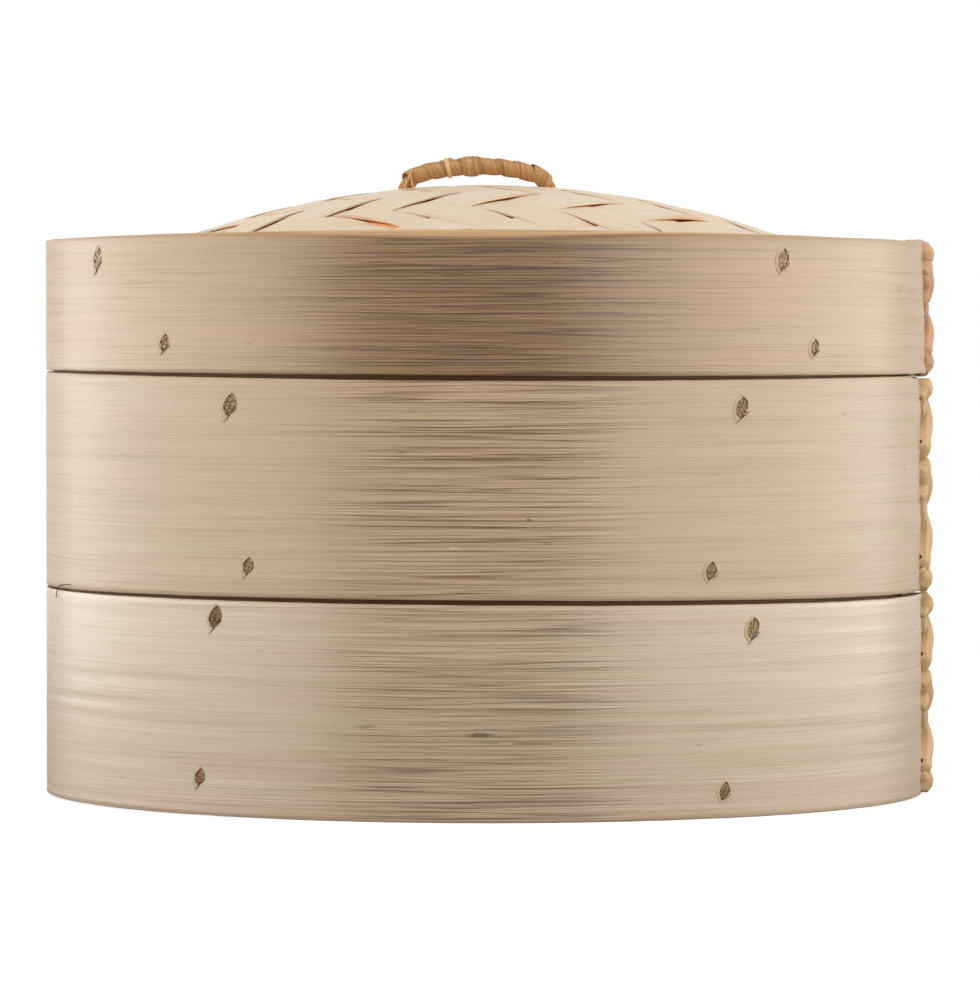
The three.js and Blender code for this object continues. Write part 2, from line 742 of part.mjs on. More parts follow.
function lid() {
  const group = new THREE.Group();
  lacedHoop(group, "lid", "lid_outer_hoop", LID_HEIGHT);

  const top = innerRing(INNER_JOINT, INNER_THICKNESS, LID_HEIGHT + TOP_HOOP_PROUD - DOME_BRIM_HEIGHT);
  top.translate(0, 0, DOME_BRIM_HEIGHT);
  const topHoop = cut(solidOf(top), pegHoles("lid", "upper"));
  group.add(piece("lid_top_hoop", geometryOf(topHoop), BAMBOO));
  addPegs(group, "lid_upper_peg", pegSticks("lid", "upper", INNER_THICKNESS));

  const seat = DOME_BRIM_HEIGHT - WEAVE_THICKNESS - FIT_GAP - LINING_THICKNESS;
  const inner = innerRing(RING_JOINT, INNER_THICKNESS, seat - FLOOR_BOTTOM);
  inner.translate(0, 0, FLOOR_BOTTOM);
  const innerHoop = cut(solidOf(inner), pegHoles("lid", "lower"));
  group.add(piece("lid_inner_hoop", geometryOf(innerHoop), BAMBOO));
  addPegs(group, "lid_lower_peg", pegSticks("lid", "lower", INNER_THICKNESS));

  const passage = solidOf(handleBar(CORE_RADIUS + FIT_GAP));
  const under = [
    new THREE.Vector2(0, -CUTTER_REACH),
    new THREE.Vector2(HOOP_DIAMETER, -CUTTER_REACH),
    new THREE.Vector2(HOOP_DIAMETER, DOME_BRIM_HEIGHT - WEAVE_THICKNESS),
    ...domeProfile(WEAVE_THICKNESS).reverse(),
  ];
  const trim = brimCutter(HOOP_DIAMETER);
  const woven = wovenBlock().intersect(trim);
  const crown = roundCutter(tightestFit() - INNER_THICKNESS - FIT_GAP, 0, HOOP_DIAMETER);
  const brim = roundCutter(HOOP_DIAMETER, DOME_BRIM_HEIGHT, HOOP_DIAMETER).subtract(crown);
  const dome = cut(woven, [brim, lathed(under), passage]);
  group.add(piece("lid_dome_weave", geometryOf(dome), SPLINT));

  const liningTop = WEAVE_THICKNESS + FIT_GAP;
  const shell = lathed([
    ...domeProfile(liningTop + LINING_THICKNESS),
    ...domeProfile(liningTop).reverse(),
  ]);
  const lining = cut(shell.intersect(trim), [passage]);
  group.add(piece("lid_dome_lining", geometryOf(lining), SPLINT));

  group.add(piece("lid_handle_core", handleBar(CORE_RADIUS), CANE));
  const wrap = ribbon(wrapStations(), WRAP_WIDTH, WRAP_THICKNESS);
  console.log(`lid_handle_wrap clears itself by ${leastGap(wrap, WRAP_STEPS / 2).toFixed(2)} mm`);
  group.add(piece("lid_handle_wrap", wrap, CANE));
  return group;
}

const steamer = new THREE.Group();
const lower = basket("lower");
const upper = basket("upper");
upper.position.z = BASKET_HEIGHT;
const cover = lid();
cover.position.z = 2 * BASKET_HEIGHT;
steamer.add(lower, upper, cover);

export default steamer;
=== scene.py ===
# %% [markdown]
# # A bamboo steamer
# Two baskets and a lid, each a hoop bent from one long strip of bamboo. The strip laps over its
# own end and is laced there with cane. The lid has a dome woven from wide splints and a small
# handle wound with cane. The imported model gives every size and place, so it is loaded first.

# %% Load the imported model
import math
import random

import bpy
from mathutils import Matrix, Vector, noise


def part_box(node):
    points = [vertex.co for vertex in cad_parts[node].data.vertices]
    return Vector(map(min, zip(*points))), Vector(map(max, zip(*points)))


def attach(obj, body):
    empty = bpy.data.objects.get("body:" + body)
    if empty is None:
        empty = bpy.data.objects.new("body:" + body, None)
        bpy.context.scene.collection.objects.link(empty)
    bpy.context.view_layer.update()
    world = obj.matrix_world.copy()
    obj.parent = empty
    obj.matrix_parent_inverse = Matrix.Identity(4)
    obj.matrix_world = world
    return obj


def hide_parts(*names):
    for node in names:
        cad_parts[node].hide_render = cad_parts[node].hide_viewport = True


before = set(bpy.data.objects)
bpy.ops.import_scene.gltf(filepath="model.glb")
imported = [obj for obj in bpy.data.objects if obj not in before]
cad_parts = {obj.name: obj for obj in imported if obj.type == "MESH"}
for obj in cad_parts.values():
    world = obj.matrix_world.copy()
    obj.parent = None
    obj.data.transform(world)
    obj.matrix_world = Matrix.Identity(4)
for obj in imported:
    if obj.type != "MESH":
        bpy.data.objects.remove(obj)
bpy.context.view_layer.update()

# %% [markdown]
# Everything is in metres here, but a maker thinks of a steamer in millimetres, so small sizes are
# written as a number times MM. Heights and radii that the model already has are read from the
# boxes of its nodes, so that the pieces made below follow it.

# %% Sizes shared by all the pieces
MM = 0.001
RINGS = ("lower", "upper", "lid")
BODY = {"lower": "lower_basket", "upper": "upper_basket", "lid": "lid"}
FOOT = {ring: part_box(f"{ring}_outer_hoop")[0][2] for ring in RINGS}
BRINK = {ring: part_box(f"{ring}_outer_hoop")[1][2] for ring in RINGS}
HOOP_RADIUS = -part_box("lid_outer_hoop")[0][0]
STRIP = 2.0 * MM
FIT = 0.3 * MM
print("feet", FOOT, "brinks", BRINK, "radius", round(HOOP_RADIUS, 4))

# %% [markdown]
# ## Camera
# The photograph is taken from far off with a long lens, level with the seam under the lid. A lens
# of 232 mm at 1.8 m gives the same flat look: seams curve down a little more the lower they are.

# %% Camera at the photograph's viewing angle
CAMERA_PLACE = (1.7 * MM, -1.812, 0.1276)
CAMERA_DIP = 1.316
LENS = 232.5
SENSOR = 36
camera = bpy.data.objects.new("camera", bpy.data.cameras.new("camera"))
bpy.context.collection.objects.link(camera)
camera.location = CAMERA_PLACE
camera.rotation_euler = (math.radians(90 - CAMERA_DIP), 0, 0)
camera.data.lens = LENS
camera.data.sensor_width = SENSOR
bpy.context.scene.camera = camera
bpy.context.scene.view_settings.view_transform = "Standard"
print("camera at", tuple(round(value, 3) for value in camera.location))

# %% [markdown]
# ## Studio
# The walls of the steamer are bright and pale at both sides, and dim and brown in the middle. The
# pale part is gloss: long, low soft boxes beside the object mirror in the sides only. A soft box
# high above the camera lights the front and the dome, and grazes every ridge of the fibres. The
# white surround is what the camera and glossy surfaces see, and adds hardly any light of its own.


# %% Soft boxes
def soft_box(name, place, target, size, watts):
    """A rectangular lamp that looks from a place to a target."""
    lamp = bpy.data.objects.new(name, bpy.data.lights.new(name, "AREA"))
    bpy.context.collection.objects.link(lamp)
    lamp.data.shape = "RECTANGLE"
    lamp.data.size, lamp.data.size_y = size
    lamp.data.energy = watts
    lamp.location = place
    lamp.rotation_euler = (Vector(target) - Vector(place)).to_track_quat("-Z", "Y").to_euler()


MIDDLE = (0, 0, 0.09)
SOFT_BOXES = {  # a place, a width and a height, and watts
    "left": ((-1.2, -0.05, 0.13), (2.7, 0.38), 13),
    "right": ((1.2, -0.3, 0.13), (3.1, 0.38), 14.8),
    "above": ((0, -0.62, 1.56), (0.8, 0.4), 14.8),
}
for side, (place, size, watts) in SOFT_BOXES.items():
    soft_box(f"soft_box_{side}", place, MIDDLE, size, watts)
print("soft boxes:", len(SOFT_BOXES))


# %% Helpers for shader nodes
def shader_nodes(tree, rows):
    """Adds nodes to a tree, from rows of a name, a type and settings."""
    for name, kind, settings in rows:
        node = tree.nodes.new(kind)
        node.name = name
        for key, value in settings.items():
            if isinstance(key, str) and hasattr(node, key):
                setattr(node, key, value)
            else:
                node.inputs[key].default_value = value


def wire(tree, *rows):
    """Links nodes, from rows of a node's name and its output, and another's name and its input."""
    for start, output, end, entry in rows:
        tree.links.new(tree.nodes[start].outputs[output], tree.nodes[end].inputs[entry])


# %% White surround
WHITE = (1, 1, 1, 1)
SURROUND_LIGHT = 0.16
world = bpy.data.worlds.new("studio")
bpy.context.scene.world = world
world.use_nodes = True
world.node_tree.nodes.clear()
shader_nodes(world.node_tree, [
    ("path", "ShaderNodeLightPath", {}),
    ("seen", "ShaderNodeMath", {"operation": "MAXIMUM"}),
    ("seen too", "ShaderNodeMath", {"operation": "MAXIMUM"}),
    ("strength", "ShaderNodeMapRange", {"To Min": SURROUND_LIGHT, "To Max": 1.0}),
    ("white", "ShaderNodeBackground", {"Color": WHITE}),
    ("out", "ShaderNodeOutputWorld", {}),
])
wire(world.node_tree,
     ("path", "Is Camera Ray", "seen", 0),
     ("path", "Is Glossy Ray", "seen", 1),
     ("seen", 0, "seen too", 0),
     ("path", "Is Transmission Ray", "seen too", 1),
     ("seen too", 0, "strength", "Value"),
     ("strength", 0, "white", "Strength"),
     ("white", 0, "out", "Surface"))
print("surround lights objects at", SURROUND_LIGHT, "and looks white")

# %% White floor
FLOOR_REACH = 0.9
FLOOR_SIDES = 96
FLOOR_LIFT = 0.86
FLOOR_GREY = (0.3, 0.3, 0.3, 1)
floor_mesh = bpy.data.meshes.new("floor")
around = [2 * math.pi * side / FLOOR_SIDES for side in range(FLOOR_SIDES)]
floor_mesh.from_pydata([(FLOOR_REACH * math.cos(turn), FLOOR_REACH * math.sin(turn), 0) for turn in around],
                       [], [tuple(range(FLOOR_SIDES))])
floor = bpy.data.objects.new("floor", floor_mesh)
bpy.context.collection.objects.link(floor)
paper = bpy.data.materials.new("white_paper")
paper.use_nodes = True
paper.node_tree.nodes.clear()
shader_nodes(paper.node_tree, [
    ("path", "ShaderNodeLightPath", {}),
    ("lift", "ShaderNodeMath", {"operation": "MULTIPLY", 1: FLOOR_LIFT}),
    ("glow", "ShaderNodeEmission", {"Color": WHITE}),
    ("matt", "ShaderNodeBsdfDiffuse", {"Color": FLOOR_GREY}),
    ("both", "ShaderNodeAddShader", {}),
    ("out", "ShaderNodeOutputMaterial", {}),
])
wire(paper.node_tree,
     ("path", "Is Camera Ray", "lift", 0),
     ("lift", 0, "glow", "Strength"),
     ("glow", 0, "both", 0),
     ("matt", 0, "both", 1),
     ("both", 0, "out", "Surface"))
floor_mesh.materials.append(paper)
print("floor reaches", FLOOR_REACH, "metres each way")

# %% [markdown]
# ## Fibre
# Split bamboo shows its fibres as long lines: fine ones everywhere, broad bands of paler and
# browner wood, and thin grooves where a fibre tore out, which are coloured dark as a painted shade in
# them. All are noise stretched along the fibre. One group makes them for every finish, and takes a
# vector in millimetres whose Z runs across the fibres. It puts out a colour, the height that
# roughens the surface, and the streaks themselves, which make some fibres glossier than others.


# %% Helpers for shader groups
def tone(red, green, blue):
    """A colour written as on a screen, from 0 to 255, as the linear values that shaders use."""
    share = [value / 255 for value in (red, green, blue)]
    return tuple(s / 12.92 if s < 0.04045 else ((s + 0.055) / 1.055) ** 2.4 for s in share) + (1,)


def shader_group(name, entries, results):
    """A shader group with named inputs, each a kind and a value, and named outputs, each a kind."""
    group = bpy.data.node_groups.new(name, "ShaderNodeTree")
    for entry, (kind, value) in entries.items():
        made = group.interface.new_socket(name=entry, in_out="INPUT", socket_type=f"NodeSocket{kind}")
        if value is not None:
            made.default_value = value
    for result, kind in results.items():
        group.interface.new_socket(name=result, in_out="OUTPUT", socket_type=f"NodeSocket{kind}")
    shader_nodes(group, [("in", "NodeGroupInput", {}), ("out", "NodeGroupOutput", {})])
    return group


# %% Shader group for the fibres of split bamboo
def stretched(name, scale, detail):
    """Two rows: a vector multiplied by a scale each way, and the noise that reads it."""
    return [
        (f"{name} scale", "ShaderNodeVectorMath", {"operation": "MULTIPLY", 1: scale}),
        (name, "ShaderNodeTexNoise", {"Scale": 1.0, "Detail": detail, "Roughness": 0.6}),
    ]


def centred(name, strength):
    """A row that moves noise from 0 to 1 to both sides of nothing, with a strength."""
    return name, "ShaderNodeMath", {"operation": "MULTIPLY_ADD", 1: strength, 2: -strength / 2}


FIRST, SECOND, MIXED = 6, 7, 2  # the colour sockets of a Mix node
ALONG = 0.012
DRIFT = 0.6
GROOVE_LINE = 0.5
fibre = shader_group("fibre", {
    "Vector": ("Vector", None),
    "Seed": ("Float", 0.0),
    "Pale": ("Color", tone(220, 203, 178)),
    "Tan": ("Color", tone(190, 164, 130)),
    "Blush": ("Color", tone(206, 176, 150)),
    "Groove Shade": ("Color", tone(112, 84, 54)),
    "Contrast": ("Float", 1.0),
    "Groove Share": ("Float", 0.5),
    "Groove Strength": ("Float", 1.0),
}, {"Color": "Color", "Height": "Float", "Streak": "Float"})
shader_nodes(fibre, [
    ("seeds", "ShaderNodeCombineXYZ", {}),
    ("shifted", "ShaderNodeVectorMath", {"operation": "ADD"}),
    *stretched("drift", (ALONG, ALONG, 0.02), 1.0),
    ("drift lift", "ShaderNodeMath", {"operation": "MULTIPLY", 1: DRIFT}),
    ("drift up", "ShaderNodeCombineXYZ", {}),
    ("bent", "ShaderNodeVectorMath", {"operation": "ADD"}),
    *stretched("fine", (ALONG * 2, ALONG * 2, 1.7), 2.0),
    *stretched("streaks", (ALONG, ALONG, 0.8), 2.0),
    *stretched("bands", (ALONG / 2, ALONG / 2, 0.09), 2.0),
    *stretched("blush", (ALONG / 2, ALONG / 2, 0.13), 2.0),
    *stretched("grooves", (ALONG * 0.8, ALONG * 0.8, 0.62), 1.5),
    centred("fine share", 0.76),
    centred("streak share", 1.4),
    centred("band share", 1.3),
    ("two", "ShaderNodeMath", {"operation": "ADD"}),
    ("three", "ShaderNodeMath", {"operation": "ADD"}),
    ("spread", "ShaderNodeMath", {"operation": "MULTIPLY_ADD", 2: 0.42, "use_clamp": True}),
    ("wood", "ShaderNodeMix", {"data_type": "RGBA"}),
    ("warm", "ShaderNodeMapRange", {"From Min": 0.4, "From Max": 0.75}),
    ("blushed", "ShaderNodeMix", {"data_type": "RGBA"}),
    # The grooves sink where these lines run, and the lines are coloured dark: a painted shade in the
    # grooves.
    ("off line", "ShaderNodeMath", {"operation": "SUBTRACT", 1: GROOVE_LINE}),
    ("from line", "ShaderNodeMath", {"operation": "ABSOLUTE"}),
    ("on line", "ShaderNodeMapRange", {"From Min": 0.085, "From Max": 0.02}),
    ("deep", "ShaderNodeMapRange", {"From Min": 0.38, "From Max": 0.6, "To Min": 0.1}),
    ("line", "ShaderNodeMath", {"operation": "MULTIPLY"}),
    ("broken", "ShaderNodeMapRange", {"From Min": 0.36, "From Max": 0.52}),
    ("line kept", "ShaderNodeMath", {"operation": "MULTIPLY"}),
    ("line share", "ShaderNodeMath", {"operation": "MULTIPLY", "use_clamp": True}),
    ("line left", "ShaderNodeMath", {"operation": "MULTIPLY"}),
    ("height left", "ShaderNodeMath", {"operation": "MULTIPLY"}),
    ("lined", "ShaderNodeMix", {"data_type": "RGBA"}),
    ("relief", "ShaderNodeMath", {"operation": "MULTIPLY_ADD", 1: 1.6}),
    ("sunk", "ShaderNodeMath", {"operation": "MULTIPLY_ADD", 1: -1.0}),
])

# %% Wires of the fibre group
wire(fibre,
     ("in", "Seed", "seeds", 0),
     ("in", "Seed", "seeds", 2),
     ("in", "Vector", "shifted", 0),
     ("seeds", 0, "shifted", 1),
     ("shifted", 0, "drift scale", 0),
     ("drift scale", 0, "drift", "Vector"),
     ("drift", 0, "drift lift", 0),
     ("drift lift", 0, "drift up", 2),
     ("shifted", 0, "bent", 0),
     ("drift up", 0, "bent", 1))
for name in ("fine", "streaks", "bands", "blush", "grooves"):
    wire(fibre,
         ("bent", 0, f"{name} scale", 0),
         (f"{name} scale", 0, name, "Vector"))
wire(fibre,
     ("fine", 0, "fine share", 0),
     ("streaks", 0, "streak share", 0),
     ("bands", 0, "band share", 0),
     ("fine share", 0, "two", 0),
     ("streak share", 0, "two", 1),
     ("two", 0, "three", 0),
     ("band share", 0, "three", 1),
     ("three", 0, "spread", 0),
     ("in", "Contrast", "spread", 1),
     ("spread", 0, "wood", "Factor"),
     ("in", "Pale", "wood", FIRST),
     ("in", "Tan", "wood", SECOND),
     ("grooves", 0, "off line", 0),
     ("off line", 0, "from line", 0),
     ("from line", 0, "on line", "Value"),
     ("streaks", 0, "deep", "Value"),
     ("on line", 0, "line", 0),
     ("deep", 0, "line", 1),
     ("fine", 0, "broken", "Value"),
     ("line", 0, "line kept", 0),
     ("broken", 0, "line kept", 1),
     ("line kept", 0, "line share", 0),
     ("in", "Groove Share", "line share", 1),
     ("line share", 0, "line left", 0),
     ("in", "Groove Strength", "line left", 1),
     ("line left", 0, "lined", "Factor"),
     ("blush", 0, "warm", "Value"),
     ("warm", 0, "blushed", "Factor"),
     ("wood", MIXED, "blushed", FIRST),
     ("in", "Blush", "blushed", SECOND),
     ("blushed", MIXED, "lined", FIRST),
     ("in", "Groove Shade", "lined", SECOND),
     ("lined", MIXED, "out", "Color"),
     ("line kept", 0, "sunk", 0),
     ("streak share", 0, "relief", 0),
     ("fine share", 0, "relief", 2),
     ("relief", 0, "sunk", 2),
     ("sunk", 0, "height left", 0),
     ("in", "Groove Strength", "height left", 1),
     ("height left", 0, "out", "Height"),
     ("spread", 0, "out", "Streak"))
print("fibre group has", len(fibre.nodes), "nodes")

# %% [markdown]
# ## Wear and specks
# Handling rubs raw edges darker, and small dark specks lie on the faces. Edges are found from how
# sharply the surface bends, and specks from cells of which only a few are kept. This is a second
# group, so that every finish may have as much of it as it needs.

# %% Shader group for rubbed edges and specks
wear = shader_group("wear", {
    "Color": ("Color", None),
    "Vector": ("Vector", None),
    "Edge Color": ("Color", tone(176, 146, 108)),
    "Edges": ("Float", 0.5),
    "Specks": ("Float", 0.5),
}, {"Color": "Color"})
shader_nodes(wear, [
    ("bend", "ShaderNodeNewGeometry", {}),
    ("edge", "ShaderNodeMapRange", {"From Min": 0.52, "From Max": 0.62}),
    ("edge share", "ShaderNodeMath", {"operation": "MULTIPLY", "use_clamp": True}),
    ("edged", "ShaderNodeMix", {"data_type": "RGBA"}),
    ("speck scale", "ShaderNodeVectorMath", {"operation": "MULTIPLY", 1: (0.05, 0.05, 0.16)}),
    ("cells", "ShaderNodeTexVoronoi", {"Scale": 1.0}),
    ("kept", "ShaderNodeSeparateColor", {}),
    ("few", "ShaderNodeMath", {"operation": "GREATER_THAN", 1: 0.8}),
    ("dot", "ShaderNodeMapRange", {"From Min": 0.09, "From Max": 0.03}),
    ("speck", "ShaderNodeMath", {"operation": "MULTIPLY"}),
    ("speck share", "ShaderNodeMath", {"operation": "MULTIPLY", "use_clamp": True}),
    ("specked", "ShaderNodeMix", {"data_type": "RGBA", SECOND: tone(120, 92, 62)}),
])
wire(wear,
     ("bend", "Pointiness", "edge", "Value"),
     ("edge", 0, "edge share", 0),
     ("in", "Edges", "edge share", 1),
     ("edge share", 0, "edged", "Factor"),
     ("in", "Color", "edged", FIRST),
     ("in", "Edge Color", "edged", SECOND),
     ("in", "Vector", "speck scale", 0),
     ("speck scale", 0, "cells", "Vector"),
     ("cells", "Color", "kept", 0),
     ("kept", 0, "few", 0),
     ("cells", "Distance", "dot", "Value"),
     ("few", 0, "speck", 0),
     ("dot", 0, "speck", 1),
     ("speck", 0, "speck share", 0),
     ("in", "Specks", "speck share", 1),
     ("speck share", 0, "specked", "Factor"),
     ("edged", MIXED, "specked", FIRST),
     ("specked", MIXED, "out", "Color"))
print("wear group has", len(wear.nodes), "nodes")

# %% [markdown]
# ## Painted front shade, and grooves faded to the sides
# The walls, the lid's most, are painted darker and browner at the front: a painted shade for the
# front, which the lamps at the sides light least. This third group darkens a colour round a chosen
# place, and fades out over a reach. A fourth one fades the grooves, their relief and their painted
# shade both, from the front and the back towards the left and the right, where the side lamps fill
# them. A fifth one lays a small ragged stain at a place, such as the dark eye where a leaf bud sat on
# the stem. The last one tints wood that lies under other wood: dark, a painted shade in the seams of
# the hoops, and orange, a painted glow of light through the thin splints of the dome. A stored share
# says how much.

# %% Shader group for browned wood
painted_front_shade = shader_group("painted_front_shade", {
    "Color": ("Color", None),
    "Vector": ("Vector", None),
    "Place": ("Vector", (0, -125, 0)),
    "Reach": ("Float", 100.0),
    "Amount": ("Float", 0.0),
}, {"Color": "Color"})
# Multiplies the colour darker round a place at the front: a painted shade for the dim front of the walls.
shader_nodes(painted_front_shade, [
    ("level", "ShaderNodeVectorMath", {"operation": "MULTIPLY", 1: (1, 1, 0)}),
    ("away", "ShaderNodeVectorMath", {"operation": "DISTANCE"}),
    ("near", "ShaderNodeMapRange", {"interpolation_type": "SMOOTHERSTEP", "To Min": 1.0, "To Max": 0.0}),
    ("share", "ShaderNodeMath", {"operation": "MULTIPLY"}),
    ("painted_front_shade", "ShaderNodeMix", {"data_type": "RGBA", "blend_type": "MULTIPLY",
                                  SECOND: tone(192, 178, 158)}),
])
wire(painted_front_shade,
     ("in", "Vector", "level", 0),
     ("level", 0, "away", 0),
     ("in", "Place", "away", 1),
     ("away", "Value", "near", "Value"),
     ("in", "Reach", "near", "From Max"),
     ("near", 0, "share", 0),
     ("in", "Amount", "share", 1),
     ("share", 0, "painted_front_shade", "Factor"),
     ("in", "Color", "painted_front_shade", FIRST),
     ("painted_front_shade", MIXED, "out", "Color"))

# %% Shader group for wood that hands rub smooth
groove_side_fade = shader_group("groove_side_fade", {
    "Vector": ("Vector", None),
    "Near": ("Float", 14.0),
    "Far": ("Float", 66.0),
    "Least": ("Float", 1.0),
}, {"Groove Strength": "Float"})
# Fades the grooves, their painted shade and their relief, from the front and back towards the left and right
# sides.
shader_nodes(groove_side_fade, [
    ("parts", "ShaderNodeSeparateXYZ", {}),
    ("aside", "ShaderNodeMath", {"operation": "ABSOLUTE"}),
    ("rough", "ShaderNodeMapRange", {"interpolation_type": "SMOOTHSTEP", "To Min": 1.0}),
])
wire(groove_side_fade,
     ("in", "Vector", "parts", 0),
     ("parts", "X", "aside", 0),
     ("aside", 0, "rough", "Value"),
     ("in", "Near", "rough", "From Min"),
     ("in", "Far", "rough", "From Max"),
     ("in", "Least", "rough", "To Max"),
     ("rough", 0, "out", "Groove Strength"))

# %% Shader group for small stains
stained = shader_group("stained", {
    "Color": ("Color", None),
    "Vector": ("Vector", None),
    "Place": ("Vector", None),
    "Reach": ("Vector", (6, 6, 1)),
    "Stain": ("Color", tone(96, 70, 42)),
    "Amount": ("Float", 1.0),
}, {"Color": "Color"})
shader_nodes(stained, [
    ("from", "ShaderNodeVectorMath", {"operation": "SUBTRACT"}),
    ("share", "ShaderNodeVectorMath", {"operation": "DIVIDE"}),
    ("away", "ShaderNodeVectorMath", {"operation": "LENGTH"}),
    ("torn", "ShaderNodeTexNoise", {"Scale": 1.3, "Detail": 2.0}),
    ("ragged", "ShaderNodeMath", {"operation": "MULTIPLY_ADD", 1: 0.9}),
    ("near", "ShaderNodeMapRange", {"From Min": 1.4, "From Max": 0.8, "interpolation_type": "SMOOTHSTEP"}),
    ("much", "ShaderNodeMath", {"operation": "MULTIPLY"}),
    ("stained", "ShaderNodeMix", {"data_type": "RGBA"}),
])
wire(stained,
     ("in", "Vector", "from", 0),
     ("in", "Place", "from", 1),
     ("from", 0, "share", 0),
     ("in", "Reach", "share", 1),
     ("share", 0, "away", 0),
     ("in", "Vector", "torn", "Vector"),
     ("torn", 0, "ragged", 0),
     ("away", "Value", "ragged", 2),
     ("ragged", 0, "near", "Value"),
     ("near", 0, "much", 0),
     ("in", "Amount", "much", 1),
     ("much", 0, "stained", "Factor"),
     ("in", "Color", "stained", FIRST),
     ("in", "Stain", "stained", SECOND),
     ("stained", MIXED, "out", "Color"))

# %% Shader group for wood under other wood
hidden_shade_and_glow = shader_group("hidden_shade_and_glow", {
    "Color": ("Color", None),
    "Cover": ("Vector", None),
    "Tint": ("Color", tone(190, 120, 64)),
}, {"Color": "Color"})
# Tints wood under other wood: dark for a painted shade in the seams of the hoops, orange for a painted glow
# of light through the thin splints.
shader_nodes(hidden_shade_and_glow, [
    ("parts", "ShaderNodeSeparateXYZ", {}),
    ("under", "ShaderNodeMapRange", {"From Min": 0.2, "From Max": 0.7}),
    ("tinted", "ShaderNodeMix", {"data_type": "RGBA"}),
])
wire(hidden_shade_and_glow,
     ("in", "Cover", "parts", 0),
     ("parts", "X", "under", "Value"),
     ("under", 0, "tinted", "Factor"),
     ("in", "Color", "tinted", FIRST),
     ("in", "Tint", "tinted", SECOND),
     ("tinted", MIXED, "out", "Color"))
print("groups have", [len(group.nodes) for group in (painted_front_shade, groove_side_fade, stained, hidden_shade_and_glow)], "nodes")

# %% [markdown]
# ## Finishes
# Each finish is the same raw wood in another state: shaved strip, planed slat, glossy splint,
# darker cane and rough peg. A finish takes its fibre vector either from the object's own
# coordinates, turned so that Z lies across the fibres, or from the grain stored on a bent ribbon.
# A thin coat over the outer strips is the wood's own gloss: it mirrors the soft boxes in the sides,
# which look pale, and the front stays brown.


# %% One finish of raw bamboo
TURNS = {"X": (0, 90, 0), "Y": (90, 0, 0), "right": (90, 0, 45), "left": (90, 0, -45)}
SEED_STEP = 37.7
BLUSH_LEAN = (4, -2, 2)
SMOOTHER, ROUGHER = 0.07, 0.1
SHEEN = {"Specular IOR Level": 0.3, "Coat IOR": 1.75, "Coat Roughness": 0.36}


# One colour serves both for the painted shade in the grooves and for the rubbed edges.
def finish(name, across, pale, tan, groove_shade_and_edge_wear, seed=0.0, contrast=1.0, grooves=0.5, edges=0.4, specks=0.5,
           roughness=0.6, bump=0.05, gloss=0.0, front_shade=0.0, least=1.0, far=50, stains=(), shade_and_glow=None):
    """A procedural wood. across is the axis over the fibres (X, Y, Z, left or right) or grain."""
    material = bpy.data.materials.new(name)
    material.use_nodes = True
    tree = material.node_tree
    tree.nodes.clear()
    turn = [math.radians(angle) for angle in TURNS.get(across, (0, 0, 0))]
    blush = [round((2 * a + b) / 3) + lean for a, b, lean in zip(pale, tan, BLUSH_LEAN)]
    shader_nodes(tree, [
        ("place", "ShaderNodeTexCoord", {}),
        ("grain", "ShaderNodeAttribute", {"attribute_name": "grain"}),
        ("turn", "ShaderNodeVectorRotate", {"rotation_type": "EULER_XYZ", "invert": True, "Rotation": turn}),
        ("millimetres", "ShaderNodeVectorMath", {"operation": "SCALE", "Scale": 1 / MM}),
        ("bump", "ShaderNodeBump", {"Strength": 1.0, "Distance": bump * MM}),
        ("rough", "ShaderNodeMapRange", {"To Min": roughness - SMOOTHER, "To Max": roughness + ROUGHER}),
        ("wood", "ShaderNodeBsdfPrincipled", {"Coat Weight": gloss, **SHEEN}),
        ("out", "ShaderNodeOutputMaterial", {}),
        ("fibres", "ShaderNodeGroup", {
            "node_tree": fibre, "Seed": seed * SEED_STEP, "Contrast": contrast, "Groove Share": grooves,
            "Pale": tone(*pale), "Tan": tone(*tan), "Blush": tone(*blush), "Groove Shade": tone(*groove_shade_and_edge_wear)}),
        ("rubbed", "ShaderNodeGroup", {
            "node_tree": wear, "Edges": edges, "Specks": specks, "Edge Color": tone(*groove_shade_and_edge_wear)}),
        ("front shade", "ShaderNodeGroup", {"node_tree": painted_front_shade, "Amount": front_shade}),
        ("groove fade", "ShaderNodeGroup", {"node_tree": groove_side_fade, "Least": least, "Far": far}),
    ])
    start = ("grain", "Vector") if across == "grain" else ("place", "Object")
    wire(tree,
         (*start, "turn", "Vector"),
         ("turn", 0, "millimetres", 0),
         ("millimetres", 0, "groove fade", "Vector"),
         ("millimetres", 0, "fibres", "Vector"),
         ("groove fade", "Groove Strength", "fibres", "Groove Strength"),
         ("fibres", "Color", "rubbed", "Color"),
         ("millimetres", 0, "rubbed", "Vector"),
         ("rubbed", "Color", "front shade", "Color"),
         ("millimetres", 0, "front shade", "Vector"),
         ("fibres", "Height", "bump", "Height"),
         ("bump", 0, "wood", "Normal"),
         ("fibres", "Streak", "rough", "Value"),
         ("rough", 0, "wood", "Roughness"),
         ("wood", 0, "out", "Surface"))
    last = "front shade"
    for number, (place, reach, amount, stain) in enumerate(stains):
        mark = f"stain {number}"
        shader_nodes(tree, [(mark, "ShaderNodeGroup", {
            "node_tree": stained, "Place": place, "Reach": reach, "Amount": amount, "Stain": tone(*stain)})])
        wire(tree, (last, "Color", mark, "Color"), ("millimetres", 0, mark, "Vector"))
        last = mark
    if shade_and_glow:
        shader_nodes(tree, [("under", "ShaderNodeGroup", {"node_tree": hidden_shade_and_glow, "Tint": tone(*shade_and_glow)})])
        wire(tree, (last, "Color", "under", "Color"), ("grain", "Vector", "under", "Cover"))
        last = "under"
    wire(tree, (last, "Color", "wood", "Base Color"))
    return material


